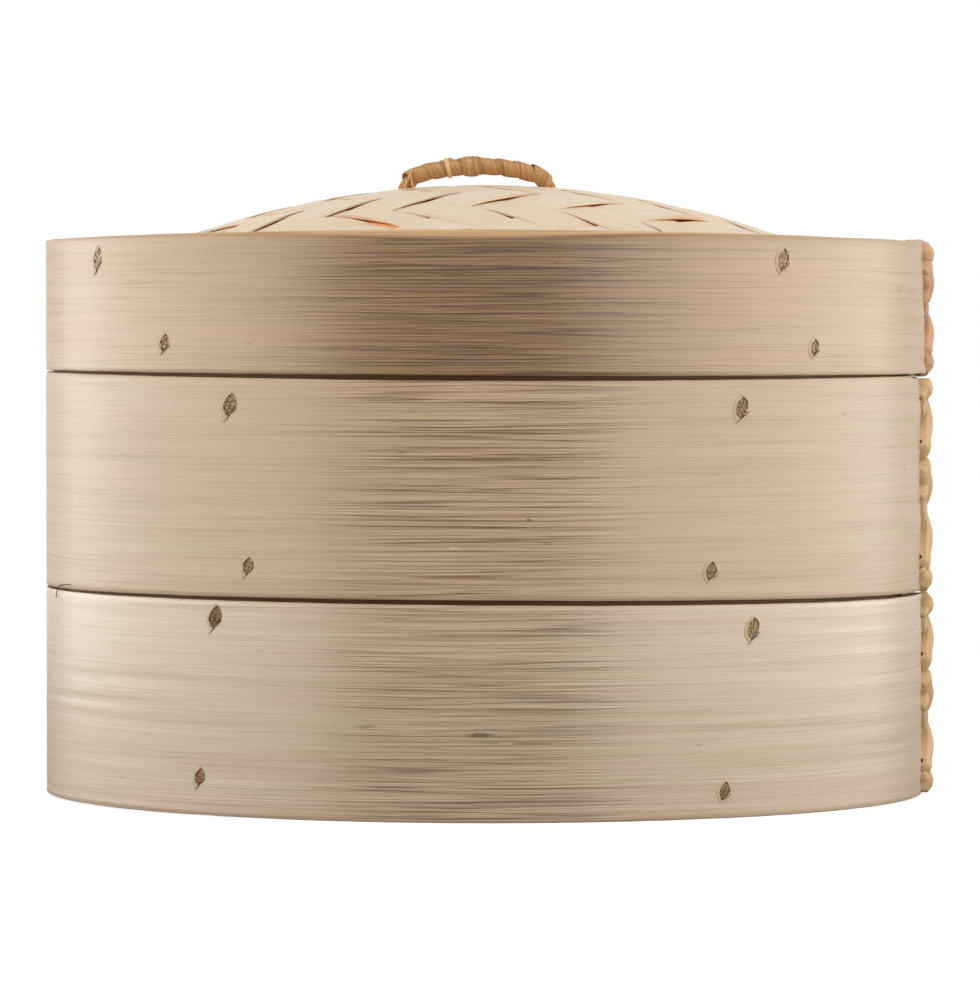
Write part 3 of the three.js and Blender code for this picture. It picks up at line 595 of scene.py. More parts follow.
# %% The finishes of the steamer
LOWER_STAINS = [
    ((-1, -125, 23.6), (5, 9, 0.9), 0.75, (84, 58, 34)),
    ((-31.5, -121, 25.6), (4, 9, 0.7), 0.5, (110, 80, 50)),
    ((6, -125, 21.4), (3, 9, 0.35), 0.8, (226, 204, 168)),
]
UPPER_STAINS = [
    ((-8, -125, 73.4), (2.2, 9, 0.5), 0.8, (228, 208, 176)),
    ((12, -124, 81.0), (0.9, 9, 0.5), 0.7, (70, 46, 24)),
]
STRIP_LOOK = {"contrast": 0.6, "grooves": 0.8, "roughness": 0.6, "least": 0.15}
# front_shade is a painted shade: it darkens the front of each wall, and the lid's the most.
OUTER = {
    "lower": finish("strip_lower", "Z", (214, 190, 156), (198, 170, 134), (118, 76, 24), seed=1.0,
                    gloss=0.95, bump=0.42, front_shade=0.2, stains=LOWER_STAINS, **STRIP_LOOK),
    "upper": finish("strip_upper", "Z", (208, 181, 145), (190, 161, 123), (118, 76, 24), seed=2.0,
                    gloss=0.54, bump=0.32, front_shade=0.05, stains=UPPER_STAINS, **STRIP_LOOK),
    "lid": finish("strip_lid", "Z", (202, 170, 127), (182, 146, 102), (100, 56, 10), seed=3.0,
                  gloss=0.6, bump=0.62, front_shade=1.0, far=60, **STRIP_LOOK),
}
# The inner hoops' outside, seen only through the seams, is tinted dark brown: a painted shade in the seams.
INNER = finish("strip_inner", "Z", (222, 203, 172), (194, 166, 128), (130, 100, 66), seed=4.0, grooves=0.4,
               shade_and_glow=(96, 60, 26))
RIM = finish("strip_rim", "Z", (236, 202, 154), (214, 174, 124), (140, 104, 64), seed=4.2, grooves=0.4)
# The lips by the peg holes are coloured pale: a painted highlight.
LIP_HIGHLIGHT = finish("strip_lip", "Z", (236, 216, 186), (222, 198, 164), (190, 160, 120), seed=4.5, grooves=0.2)

LATH_LOOK = {"contrast": 0.8, "grooves": 0.35}
SLAT = finish("slat", "X", (224, 204, 170), (196, 168, 128), (132, 102, 66), seed=5.0, **LATH_LOOK)
BATTEN = finish("batten", "Y", (218, 196, 160), (188, 160, 120), (128, 98, 62), seed=6.0, **LATH_LOOK)

# The splints' covered wood, undersides and lips take the orange tint: a painted glow of light through the
# thin splints.
SPLINT_LOOK = {"contrast": 0.7, "grooves": 0.12, "edges": 0.15, "specks": 0.3, "roughness": 0.45,
               "bump": 0.02, "shade_and_glow": (236, 162, 92)}
SPLINT = {
    "right": finish("splint_right", "right", (242, 226, 200), (224, 198, 162), (196, 156, 110), seed=7.0,
                    **SPLINT_LOOK),
    "left": finish("splint_left", "left", (241, 224, 196), (222, 194, 156), (194, 154, 108), seed=8.0,
                   **SPLINT_LOOK),
}
# The lining shows only through the slits, and its light orange is a painted glow of light through the
# splints over it.
LINING_LOOK = {"contrast": 0.8, "grooves": 0.4}
LINING = {
    "right": finish("lining_right", "right", (240, 184, 122), (212, 142, 82), (150, 88, 44), seed=12.0,
                    **LINING_LOOK),
    "left": finish("lining_left", "left", (236, 178, 114), (206, 136, 76), (150, 88, 44), seed=13.0,
                   **LINING_LOOK),
}

CANE = finish("cane", "grain", (202, 157, 102), (168, 122, 72), (104, 66, 34), seed=9.0, contrast=1.1,
              grooves=0.6, edges=0.5, specks=0.2, roughness=0.45)
PALE_CANE_LOOK = {"contrast": 0.9, "grooves": 0.15, "specks": 0.2, "roughness": 0.5, "bump": 0.03}
LID_CANE = finish("lid_cane", "grain", (216, 170, 130), (186, 134, 96), (124, 78, 46), seed=14.0, edges=0.5,
                  **PALE_CANE_LOOK)
PALE_CANE = finish("pale_cane", "grain", (228, 196, 146), (206, 164, 110), (150, 106, 60), seed=10.0,
                   edges=0.4, **PALE_CANE_LOOK)

PEG_LOOK = {"specks": 0.0, "roughness": 0.85}
PEG_WOOD = finish("peg_wood", "Z", (244, 216, 170), (206, 168, 120), (112, 80, 46), seed=11.0, contrast=1.5,
                  grooves=0.5, edges=0.5, bump=0.1, **PEG_LOOK)
LID_PEG = finish("lid_peg", "Z", (246, 222, 182), (224, 190, 146), (160, 124, 84), seed=17.0, contrast=1.2,
                 grooves=0.4, edges=0.5, bump=0.1, **PEG_LOOK)
PALE_PEG = finish("pale_peg", "Z", (250, 232, 204), (240, 214, 180), (206, 176, 138), seed=15.0,
                  contrast=1.0, grooves=0.3, edges=0.3, bump=0.05, **PEG_LOOK)
DARK_SPLINTER = finish("dark_splinter", "Z", (128, 98, 64), (104, 76, 46), (70, 48, 28), seed=16.0,
                       edges=0.0)
print("finishes:", len(bpy.data.materials))

# %% [markdown]
# ## Bent strips
# A strip of bamboo bent into a hoop is not a lathe shape: its thickness, edges and radius wander,
# and its fibres stand up a little at the edges. So each strip is a skin of many upright sections,
# one for every degree or so, and each section is a rounded bar drawn point by point.


# %% Helpers for skins made of sections
def spot(angle, radius, height):
    """A point at an angle from the front, to the right, a radius and a height."""
    turn = math.radians(angle)
    return (radius * math.sin(turn), -radius * math.cos(turn), height)


SHIFT_X, SHIFT_Y, SHIFT_Z = 0.37, 0.61, 0.13


def ripple(x, y=0.0, z=0.0):
    """Smooth noise between about -1 and 1, shifted since noise is always 0 at whole numbers."""
    return noise.noise(Vector((x + SHIFT_X, y + SHIFT_Y, z + SHIFT_Z)))


def new_piece(name, points, faces, material, body, replaced=(), grain=None, sharp=35):
    """Makes one visible piece, rides it on its body and hides the nodes that it stands for."""
    mesh = bpy.data.meshes.new(name)
    mesh.from_pydata(points, [], faces)
    mesh.validate()
    mesh.shade_smooth()
    mesh.set_sharp_from_angle(angle=math.radians(sharp))
    if grain:
        attribute = mesh.attributes.new("grain", "FLOAT_VECTOR", "POINT")
        attribute.data.foreach_set("vector", [value for point in grain for value in point])
    mesh.materials.append(material)
    made = bpy.data.objects.new(name, mesh)
    bpy.context.collection.objects.link(made)
    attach(made, body)
    if replaced:
        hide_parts(*replaced)
    return made


def skin_faces(sections, size, start=0):
    """Faces that join sections of a size into a closed skin, with a cap at each end."""
    faces = []
    for section in range(sections - 1):
        for corner in range(size):
            a = start + section * size + corner
            b = start + section * size + (corner + 1) % size
            faces.append((a, b, b + size, a + size))
    faces.append(tuple(start + corner for corner in reversed(range(size))))
    faces.append(tuple(start + (sections - 1) * size + corner for corner in range(size)))
    return faces


EDGE = 0.35 * MM
CORNER = 0.3


def strip_section(outer, inner, low, high, rows):
    """A rounded upright bar in section, as pairs of a radius and a height, bottom outside first."""
    soft = CORNER * EDGE
    tall = high - low - 2 * EDGE
    few = rows // 3
    outside = [low + EDGE + tall * row / rows for row in range(rows + 1)]
    inside = [high - EDGE - tall * row / few for row in range(few + 1)]
    section = [(outer - EDGE, low), (outer - soft, low + soft)]
    section += [(outer, height) for height in outside]
    section += [(outer - soft, high - soft), (outer - EDGE, high), (inner + EDGE, high)]
    section += [(inner + soft, high - soft)]
    section += [(inner, height) for height in inside]
    section += [(inner + soft, low + soft), (inner + EDGE, low)]
    return section


# %% [markdown]
# The outer strip of each ring starts at a blunt, torn end on the right, runs once round, slips
# under its own start and tapers to a thin scarf. Its edges are not straight either. At the front
# the rings stand about a millimetre apart, which is the dark seam, and behind the sides they touch.
# So each edge has an offset at the left, the front and the right, with a smooth curve between. The
# lid's strip is a little hollow at the front, where the hoop round the dome looks over it, and its
# end springs out and up a little. The upper basket's strip is chipped beside its end. Ridges run
# along the outside where the blade that split it followed a fibre.

# %% Sizes of the outer hoops
LAP = {"lower": 84.5, "upper": 82.0, "lid": 86.0}
OVERLAP = 25
LAP_RISE = 18
LAP_STEP = STRIP + FIT
SCARF = 1.0 * MM
SCARF_TIP = 0.6 * MM
TURN_STEP = 1.25
ROW = 1.15 * MM
RING_SEED = 7.3
LOW_EDGE = {"lower": (0.6, 0.0, 0.0), "upper": (-0.5, -0.6, -2.1), "lid": (0.5, -0.7, -0.6)}
HIGH_EDGE = {"lower": (-0.9, -1.8, -2.8), "upper": (0.1, -1.9, -0.9), "lid": (-0.6, -0.1, -1.2)}
HOLLOW = 1.3 * MM
HOLLOW_MIDDLE = -3
HOLLOW_REACH = 34
EDGE_FADE = 0.7
EDGE_WAVE = 0.15 * MM
EDGE_WAVES = 9
RIDGE = 0.07 * MM
RIDGE_ALONG, RIDGE_ACROSS = 1.5, 0.45
GOUGE_ALONG, GOUGE_ACROSS = 2.5, 0.19
GOUGE_LEAST = 0.35
FRAY = 0.5 * MM
FRAY_ACROSS = 0.9
TORN = 0.35 * MM
TORN_ACROSS = 1.1
TORN_STEPS = 4
BEHIND = 0.12
RESTING = 0.05 * MM
CHIPPED = {"lower": 0.0, "upper": 1.0 * MM, "lid": -0.9 * MM}
CHIP_RUN = 16
CHIP_EVEN, CHIP_ROUGH, CHIP_WAVES = 0.8, 0.6, 0.8
SPRUNG = {"lower": 0.0, "upper": 0.0, "lid": 1.1 * MM}
SPRUNG_RUN = 7
print("laps at", LAP, "degrees")


# %% Shape of the outer hoops
def ease(value):
    """From 0 to 1, level at both ends."""
    value = min(1.0, max(0.0, value))
    return value * value * (3 - 2 * value)


def strip_faces(run):
    """The outer and the inner radius of an outer strip, at a run of degrees from its outer end."""
    rise = ease((run - (360 - LAP_RISE)) / LAP_RISE)
    outer = HOOP_RADIUS - LAP_STEP * rise
    thickness = STRIP + (SCARF - STRIP) * rise
    thickness += (SCARF_TIP - SCARF) * max(0.0, (run - 360) / OVERLAP)
    return outer, outer - thickness


def edge_offset(offsets, angle):
    """The offset of an edge at an angle: a curve through its left, front and right, level behind."""
    left, front, right = offsets
    x, y = math.sin(math.radians(angle)), math.cos(math.radians(angle))
    curve = front + (right - left) / 2 * x + ((right + left) / 2 - front) * x * x
    return curve * ease((y + EDGE_FADE) / EDGE_FADE) * MM


def brink_offset(ring, angle):
    """The offset of the upper edge of a ring at an angle."""
    near = (angle + 180) % 360 - 180
    offset = edge_offset(HIGH_EDGE[ring], near)
    if ring == "lid":
        offset -= HOLLOW * ease(1 - abs(near - HOLLOW_MIDDLE) / HOLLOW_REACH)
    return offset


def foot_offset(ring, angle):
    """The offset of the lower edge of a ring, which rests on the ring below behind the sides."""
    own = edge_offset(LOW_EDGE[ring], angle)
    if ring == RINGS[0]:
        return max(0.0, own)
    below = RINGS[RINGS.index(ring) - 1]
    resting = BRINK[below] + brink_offset(below, angle) - FOOT[ring] + RESTING
    return resting + (own - resting) * ease((math.cos(math.radians(angle)) + BEHIND) / BEHIND)


def outer_strip(ring):
    """Points and faces of the outer strip of a ring."""
    seed = RINGS.index(ring) * RING_SEED
    rows = round((BRINK[ring] - FOOT[ring]) / ROW)
    steps = round((360 + OVERLAP) / TURN_STEP)
    points = []
    for step in range(steps + 1):
        run = step * TURN_STEP
        angle = LAP[ring] - run
        outer, inner = strip_faces(run)
        turn = math.radians(angle)
        x, y = math.sin(turn), -math.cos(turn)
        low_wave, high_wave = (abs(ripple(x * EDGE_WAVES, y * EDGE_WAVES, seed + edge)) for edge in (0, 3))
        low = FOOT[ring] + foot_offset(ring, angle) + low_wave * EDGE_WAVE
        high = BRINK[ring] + brink_offset(ring, angle) - high_wave * EDGE_WAVE
        chip = CHIPPED[ring] * ease(1 - run / CHIP_RUN)
        high -= chip * (CHIP_EVEN + CHIP_ROUGH * ripple(angle * CHIP_WAVES))
        for radius, height in strip_section(outer, inner, low, high, rows):
            side = 1 if radius > (outer + inner) / 2 else 0
            level = height / MM
            gouge = ripple(x * GOUGE_ALONG, y * GOUGE_ALONG, level * GOUGE_ACROSS + seed) - GOUGE_LEAST
            rub = RIDGE * side * ripple(x * RIDGE_ALONG, y * RIDGE_ALONG, level * RIDGE_ACROSS + seed)
            rub -= RIDGE * 2 * side * max(0.0, gouge)
            rub += TORN * ripple(level * TORN_ACROSS, seed + 5) * max(0.0, 1 - step / TORN_STEPS)
            rub += SPRUNG[ring] * ease(1 - run / SPRUNG_RUN) * (high - height) / (high - low)
            frayed = FRAY * (1 + ripple(level * FRAY_ACROSS, seed)) if step == 0 else 0
            back = math.degrees(frayed / radius)
            points.append(spot(angle - back, radius + rub - RIDGE * side, height))
    size = len(points) // (steps + 1)
    return points, skin_faces(steps + 1, size)


# %% [markdown]
# Bamboo pegs pin the rings together, and the cane dives through slots beside the lap. Both need
# real holes, so the strip is cut by prisms with Blender's boolean. A peg hole is a rough oval that
# leans and narrows above and below. A slot is a smooth one as wide as the cane there, and two close
# dips of the cane share one. The pegs' places come from the boxes of the pegs in the model. The
# lower rows of the baskets are part of the floor rings there, so their places are given here.

# %% Places of the pegs
PEG_SIZE = {"large": (1.95 * MM, 2.9 * MM), "small": (1.6 * MM, 2.2 * MM)}
PEG_SIDES = 18
PEG_LEAN = 0.18
PEG_NARROW = 0.35
PEG_ROUGH, PEG_LUMPS = 0.22, 1.9
LOWER_ROW = {"lower": ((-38.0, 10.6), (31.3, 7.4)), "upper": ((-30.5, 8.1), (29.3, 6.8))}
LOWER_ROW_COUNT = 5


def peg_places(ring):
    """Every peg of a ring, as the node it stands for, its angle, height and size."""
    places = []
    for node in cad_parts:
        if node.startswith(f"{ring}_") and "_peg_" in node:
            low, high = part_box(node)
            x, y, z = ((low[axis] + high[axis]) / 2 for axis in range(3))
            size = "small" if "lower_peg" in node and ring == "lid" else "large"
            places.append((node, math.degrees(math.atan2(x, -y)), z, size))
    if ring in LOWER_ROW:
        (left, left_height), (right, right_height) = LOWER_ROW[ring]
        spread = (left + 360 - right) / (LOWER_ROW_COUNT - 1)
        middle = (left_height + right_height) / 2
        spots = [(left, left_height), (right, right_height)]
        spots += [(right + index * spread, middle) for index in range(1, LOWER_ROW_COUNT - 1)]
        for index, (angle, height) in enumerate(spots):
            places.append((f"{ring}_floor_peg_{index + 1}", angle, FOOT[ring] + height * MM, "small"))
    return places


PEGS = {ring: peg_places(ring) for ring in RINGS}
print("pegs:", {ring: len(places) for ring, places in PEGS.items()})


# %% Prisms that drill a piece
def peg_outline(seed, size, grow=0.0):
    """The rough end of a peg, which leans a little, as sideways and upright distances."""
    width, height = PEG_SIZE[size]
    outline = []
    for corner in range(PEG_SIDES):
        turn = 2 * math.pi * corner / PEG_SIDES
        across, up = math.cos(turn) * abs(math.cos(turn)) ** PEG_NARROW, math.sin(turn)
        rough = 1 + PEG_ROUGH * ripple(math.cos(turn) * PEG_LUMPS, math.sin(turn) * PEG_LUMPS, seed)
        up *= height * rough + grow
        outline.append(((width * rough + grow) * across + PEG_LEAN * up, up))
    return outline


def driven(outline, angle, height, near, far):
    """Points and faces of a prism on an outline, from a radius out to a larger one."""
    turn = math.radians(angle)
    out = Vector((math.sin(turn), -math.cos(turn), 0))
    side = Vector((math.cos(turn), math.sin(turn), 0))
    points = []
    for radius in (near, far):
        for across, up in outline:
            points.append(tuple(out * radius + side * across + Vector((0, 0, height + up))))
    return points, skin_faces(2, len(outline))


def drill(piece, prisms):
    """Cuts prisms out of a piece for good."""
    points, faces = [], []
    for prism_points, prism_faces in prisms:
        start = len(points)
        points += prism_points
        faces += [tuple(start + corner for corner in face) for face in prism_faces]
    mesh = bpy.data.meshes.new("drill")
    mesh.from_pydata(points, [], faces)
    tool = bpy.data.objects.new("drill", mesh)
    bpy.context.collection.objects.link(tool)
    modifier = piece.modifiers.new("drill", "BOOLEAN")
    modifier.object = tool
    modifier.operation = "DIFFERENCE"
    modifier.solver = "EXACT"
    graph = bpy.context.evaluated_depsgraph_get()
    cut = bpy.data.meshes.new_from_object(piece.evaluated_get(graph))
    piece.modifiers.clear()
    old = piece.data
    piece.data = cut
    bpy.data.meshes.remove(old)
    bpy.data.objects.remove(tool)
    bpy.data.meshes.remove(mesh)


# %% Places of the slots
LACE_SPACING = 13 * MM
LACE_EDGE = 2.2 * MM
LACE_INSET = 0.6
STITCHES = {"lower": 4, "upper": 4, "lid": 3}
SLOT_WIDE, SLOT_TALL = 2.9 * MM, 1.8 * MM
SLOT_CORNERS = 10
SLOT_SHARED = 2.2
LACE_TURN = 0.2


def lace_columns(ring):
    """The angles of the two columns of slots beside a lap."""
    first = LAP[ring] - LACE_INSET
    return first, first + math.degrees(LACE_SPACING / HOOP_RADIUS)


def lace_level(ring, level):
    """The height of a level of slots."""
    low = FOOT[ring] + LOW_EDGE[ring][2] * MM + LACE_EDGE
    high = BRINK[ring] + HIGH_EDGE[ring][2] * MM - LACE_EDGE
    return low + level * (high - low) / STITCHES[ring]


def lace_dips(ring):
    """The column, the level and the way, up or down, of each dip of the lacing in its order."""
    top = STITCHES[ring]
    climb = [(level % 2, level, 1) for level in range(top + 1)]
    levels = [top - 0.5 - step for step in range(top)]
    levels[0], levels[-1] = top - LACE_TURN, LACE_TURN
    fall = [((top + 1 + step) % 2, level, -1) for step, level in enumerate(levels)]
    return climb + fall + [(0 if fall[-1][0] else 1, 0, -1)]


def lace_slots(ring):
    """The column, the lowest and the highest dip of each slot, where close dips share one."""
    slots = []
    for column, level in sorted((column, level) for column, level, _ in lace_dips(ring)):
        height = lace_level(ring, level)
        if slots and slots[-1][0] == column and height - slots[-1][2] < SLOT_SHARED * SLOT_TALL:
            slots[-1][2] = height
        else:
            slots.append([column, height, height])
    return slots


print("slots:", {ring: len(lace_slots(ring)) for ring in RINGS})

# %% Outer hoops with their holes
THROUGH = (HOOP_RADIUS - 18 * MM, HOOP_RADIUS + 6 * MM)
OUTER_PLAY = 0.14 * MM


def peg_holes(numbered_pegs, play):
    """Prisms for the holes of pegs, each given with its number in its ring, with some play."""
    return [driven(peg_outline(index, size, play), angle, height, *THROUGH)
            for index, (_, angle, height, size) in numbered_pegs]


def slot_holes(ring):
    """Prisms for the slots of a ring."""
    prisms = []
    for column, lowest, highest in lace_slots(ring):
        turns = [2 * math.pi * (corner + 0.5) / SLOT_CORNERS for corner in range(SLOT_CORNERS)]
        tall = SLOT_TALL + (highest - lowest) / 2
        outline = [(SLOT_WIDE * math.cos(turn), tall * math.sin(turn)) for turn in turns]
        prisms.append(driven(outline, lace_columns(ring)[column], (lowest + highest) / 2, *THROUGH))
    return prisms


for ring in RINGS:
    points, faces = outer_strip(ring)
    hoop = new_piece(f"{ring}_outer_strip", points, faces, OUTER[ring], BODY[ring],
                     [f"{ring}_outer_hoop"])
    prisms = peg_holes(enumerate(PEGS[ring]), OUTER_PLAY) + slot_holes(ring)
    drill(hoop, prisms)
    print(hoop.name, len(hoop.data.vertices), "points,", len(prisms), "holes")

# %% [markdown]
# ## Inner hoops and floor rings
# Inside each basket a second strip carries the ring above on its raised lip, and below it a
# stout ring carries the floor. The lid has one under the dome and one around it. Their ends meet
# in a plain butt joint, and where the lacing passes they bend in to clear it. The boxes of the
# nodes give their heights, and the bend is the one that the model has.

# %% Sizes of the inner hoops, and where they fit
BUTT_GAP = 0.6 * MM
INNER_JOINT = 180
RING_JOINT = 150
INNER_STRIP = 2.4 * MM
INNER_STEPS = 240
INNER_ROWS = 9
INNER_WAVE = 0.12 * MM
INNER_WAVES = 6
INNER_SEED = 90
INNER_RIDGE = 0.5 * RIDGE
INNER_ACROSS = 0.6
INNER_PLAY = 0.2 * MM
FLOOR_RING = 4.0 * MM
LACE_DEPTH = 2.45 * MM
RELIEF_RAMP = 12
RELIEF = (78.1, 97.2)
CLEAR_REACH = 5
PAST_END = 4 * TURN_STEP
LEVEL = (0.0, 0.0, 0.0)
CROWN = (-1.2, 0.0, -1.9)
RIM_SHOWN = 2.6 * MM
NOTCH_ABOVE = 2 * MM


def clear_face(angle):
    """The innermost face of the outer strips at an angle, over all three laps."""
    face = HOOP_RADIUS - STRIP
    for lap in LAP.values():
        for turn in (-360, 0, 360):
            run = lap - angle + turn
            if 360 - LAP_RISE <= run <= 360 + OVERLAP + PAST_END:
                face = min(face, strip_faces(min(run, 360 + OVERLAP))[1])
    return face


def inner_fit(angle):
    """The outer radius of inner hoops at an angle."""
    face = min(clear_face(angle + side) for side in (-CLEAR_REACH, 0, CLEAR_REACH))
    start, end = RELIEF
    bends_in = ease((angle - start + RELIEF_RAMP) / RELIEF_RAMP)
    bends_out = ease((end + RELIEF_RAMP - angle) / RELIEF_RAMP)
    return face - FIT - LACE_DEPTH * min(bends_in, bends_out)


print("inner hoops fit in", round(inner_fit(0) / MM, 2), "mm")


# %% Inner hoops, floor rings and the hoop round the dome
def mark_hidden(piece, hidden):
    """Stores at each point of a piece whether other wood hides it, for the painted shade of the seams; a
    drill would lose it.
    """
    marks = piece.data.attributes.new("grain", "FLOAT_VECTOR", "POINT")
    for mark, vertex in zip(marks.data, piece.data.vertices):
        mark.vector = (float(hidden(vertex.co)), 0.0, 0.0)


def batten_notches(ring):
    """Prisms that notch a floor ring where its battens rest in it."""
    prisms = []
    for index in (1, 2):
        low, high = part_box(f"{ring}_batten_{index}")
        y0, y1 = low[1] - FIT, high[1] + FIT
        z0, z1 = low[2] - FIT, high[2] + NOTCH_ABOVE
        corners = [(y0, z0), (y1, z0), (y1, z1), (y0, z1)]
        points = [(x, y, z) for x in (-HOOP_RADIUS, HOOP_RADIUS) for y, z in corners]
        prisms.append((points, skin_faces(2, len(corners))))
    return prisms


def inner_hoop(node, joint, thickness, crown, look):
    """One inner hoop or ring in the place of a node, with holes for pegs and notches for battens."""
    ring = node.split("_")[0]
    low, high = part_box(node)[0][2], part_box(node)[1][2]
    rows = max(INNER_ROWS, round((high - low) / ROW))
    opening = math.degrees(BUTT_GAP / HOOP_RADIUS)
    points = []
    for step in range(INNER_STEPS + 1):
        angle = joint + opening / 2 + (360 - opening) * step / INNER_STEPS
        angle = (angle + 180) % 360 - 180
        x, y = math.sin(math.radians(angle)), math.cos(math.radians(angle))
        face = inner_fit(angle)
        wobble = INNER_WAVE * abs(ripple(x * INNER_WAVES, y * INNER_WAVES, low * INNER_SEED))
        top = high - wobble + edge_offset(crown, angle)
        for radius, height in strip_section(face, face - thickness, low + wobble, top, rows):
            rub = INNER_RIDGE * ripple(x, y, height / MM * INNER_ACROSS)
            points.append(spot(angle, radius - abs(rub), height))
    faces = skin_faces(INNER_STEPS + 1, len(points) // (INNER_STEPS + 1))
    name = node.replace("hoop", "strip").replace("floor_ring", "floor_hoop")
    piece = new_piece(name, points, faces, look, BODY[ring], [node])
    pegs = [(index, peg) for index, peg in enumerate(PEGS[ring]) if low < peg[2] < high]
    drill(piece, peg_holes(pegs, INNER_PLAY))
    if node.endswith("floor_ring"):
        drill(piece, batten_notches(ring))

    # Points on the outer face below the shown rim get the painted shade of the seams.
    def hidden(point):
        face = inner_fit(math.degrees(math.atan2(point.x, -point.y)))
        return math.hypot(point.x, point.y) > face - thickness / 2 and low < point.z < high - RIM_SHOWN

    mark_hidden(piece, hidden)
    print(name, len(piece.data.vertices), "points,", len(pegs), "peg holes")


for ring in ("lower", "upper"):
    inner_hoop(f"{ring}_inner_hoop", INNER_JOINT, INNER_STRIP, LEVEL, INNER)
    inner_hoop(f"{ring}_floor_ring", RING_JOINT, FLOOR_RING, LEVEL, INNER)
inner_hoop("lid_inner_hoop", RING_JOINT, INNER_STRIP, LEVEL, INNER)
inner_hoop("lid_top_hoop", INNER_JOINT, INNER_STRIP, CROWN, RIM)

# %% [markdown]
# ## Floors
# The slats and the two battens under them are straight planed laths, and the model already has
# them right. They stay as they are and get a worn edge from a small bevel, and their own finish.

# %% Finish of the slats and battens
WORN_EDGE = 0.25 * MM
laths = {name: lath for name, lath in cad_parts.items() if "_slat_" in name or "_batten_" in name}
for name, lath in laths.items():
    lath.data.materials.clear()
    lath.data.materials.append(SLAT if "_slat_" in name else BATTEN)
    worn = lath.modifiers.new("worn edge", "BEVEL")
    worn.width = WORN_EDGE
    worn.segments = 2
    worn.limit_method = "ANGLE"
print("laths:", len(laths))

# %% [markdown]
# ## Pegs
# A peg is a stick split from bamboo and cut off flush, so its end is a bundle of torn grey-brown
# fibres in a slightly larger hole. It is built as that bundle: one short stick inside, and a few
# dozen thin strands that end at different depths. Two splinters are bent over below it, and the
# drill raised a lip of the strip on the left of the hole, coloured pale as a painted highlight.

# %% Sizes of the pegs' fibrous ends
PEG_TAIL = 0.2 * MM
PEG_PLAY = -0.1 * MM
CORE_DEPTH = 0.5 * MM
STRAND = 0.34 * MM
STRAND_SIDES = 5
STRAND_ROOT = 1.0 * MM
STRAND_PITCH = STRAND * 1.75
STRAND_ROWS = range(-6, 7)
STRAND_COLUMNS = range(-4, 5)
STRAND_ROW_PITCH = 0.9
STRAND_SHAKE = 0.06
STRAND_FAT = (0.75, 1.2)
STRAND_ENDS = (-0.7, 0.15)
STRAND_LEAN = 0.25
STRAND_ASIDE = 0.3
BUNDLE = 0.9
SPLINTERS = [((-0.1, -0.8), (-0.4, -1.12), (-1.0, -1.4)), ((0.1, -0.78), (0.6, -0.74), (1.3, -0.3))]
SPLINTER = 0.22 * MM
SPLINTER_OUT = 0.2 * MM
SPLINTER_FAT, SPLINTER_THIN = 1.1, 0.3
SPLINTER_CLEAR, SPLINTER_HUMP = 0.02, 0.1
SPLINTER_SLANT = 0.6
SPLINTER_STRETCH = (0.8, 1.15)
PALE_BEYOND = -50
print("strands of a peg are", round(2 * STRAND / MM, 2), "mm thick")


# %% Pegs with fibrous ends
def strands(angle, height, size, seed, draw):
    """Points and faces of each strand in the bundle at the end of a peg."""
    width, tall = PEG_SIZE[size]
    for row in STRAND_ROWS:
        for column in STRAND_COLUMNS:
            across = column * STRAND_PITCH + (STRAND_PITCH / 2 if row % 2 else 0)
            across += draw.uniform(-STRAND_SHAKE, STRAND_SHAKE) * MM
            up = row * STRAND_PITCH * STRAND_ROW_PITCH + draw.uniform(-STRAND_SHAKE, STRAND_SHAKE) * MM
            if ((across - PEG_LEAN * up) / width) ** 2 + (up / tall) ** 2 > BUNDLE:
                continue
            fat = STRAND * draw.uniform(*STRAND_FAT)
            end = HOOP_RADIUS + draw.uniform(*STRAND_ENDS) * MM
            lean = draw.uniform(-STRAND_LEAN, STRAND_LEAN) * MM
            turns = [2 * math.pi * side / STRAND_SIDES + seed for side in range(STRAND_SIDES)]
            outline = [(across + fat * math.cos(turn), up + fat * math.sin(turn)) for turn in turns]
            points, faces = driven(outline, angle, height, HOOP_RADIUS - STRAND_ROOT, end)
            tips = [(x + lean * STRAND_ASIDE, y, z + lean) for x, y, z in points[STRAND_SIDES:]]
            yield points[:STRAND_SIDES] + tips, faces


def peg_bundle(name, ring, angle, height, size, seed, replaced):
    """One peg from the inner hoop to the outside, with a bundle of strands at its outer end."""
    draw = random.Random(seed)
    tail = inner_fit(angle) - (FLOOR_RING if "floor_peg" in name else INNER_STRIP) - PEG_TAIL
    core = peg_outline(seed, size, PEG_PLAY)
    points, faces = driven(core, angle, height, tail, HOOP_RADIUS - CORE_DEPTH)
    for strand, sides in strands(angle, height, size, seed, draw):
        start = len(points)
        points += strand
        faces += [tuple(start + corner for corner in side) for side in sides]
    whole = len(faces)
    width, tall = PEG_SIZE[size]
    for path in SPLINTERS:
        start = len(points)
        stretch = draw.uniform(*SPLINTER_STRETCH)
        for step, (across, up) in enumerate(path):
            thin = SPLINTER * (SPLINTER_FAT - SPLINTER_THIN * step)
            hump = (SPLINTER_CLEAR + SPLINTER_HUMP * (step == 1)) * MM
            for side, out in ((-thin, 0.0), (0.0, thin), (thin, 0.0), (0.0, -thin)):
                radius = HOOP_RADIUS + min(out + hump, SPLINTER_OUT)
                turn = math.degrees((across * width * stretch + side) / HOOP_RADIUS)
                level = height + up * tall * stretch + side * SPLINTER_SLANT
                points.append(spot(angle + turn, radius, level))
        faces += skin_faces(len(path), 4, start)
    look = (PALE_PEG if angle < PALE_BEYOND else LID_PEG) if ring == "lid" else PEG_WOOD
    peg = new_piece(name, points, faces, look, BODY[ring], replaced)
    peg.data.materials.append(DARK_SPLINTER)
    for face in peg.data.polygons[whole:]:
        face.material_index = 1


# %% The raised lips of the peg holes
LIP_WIDTH = 1.0 * MM
LIP_RISE = 0.16 * MM
LIP_PLAY = 0.12 * MM
LIP_EDGE = 0.03 * MM
LIP_ROOT = -0.3 * MM


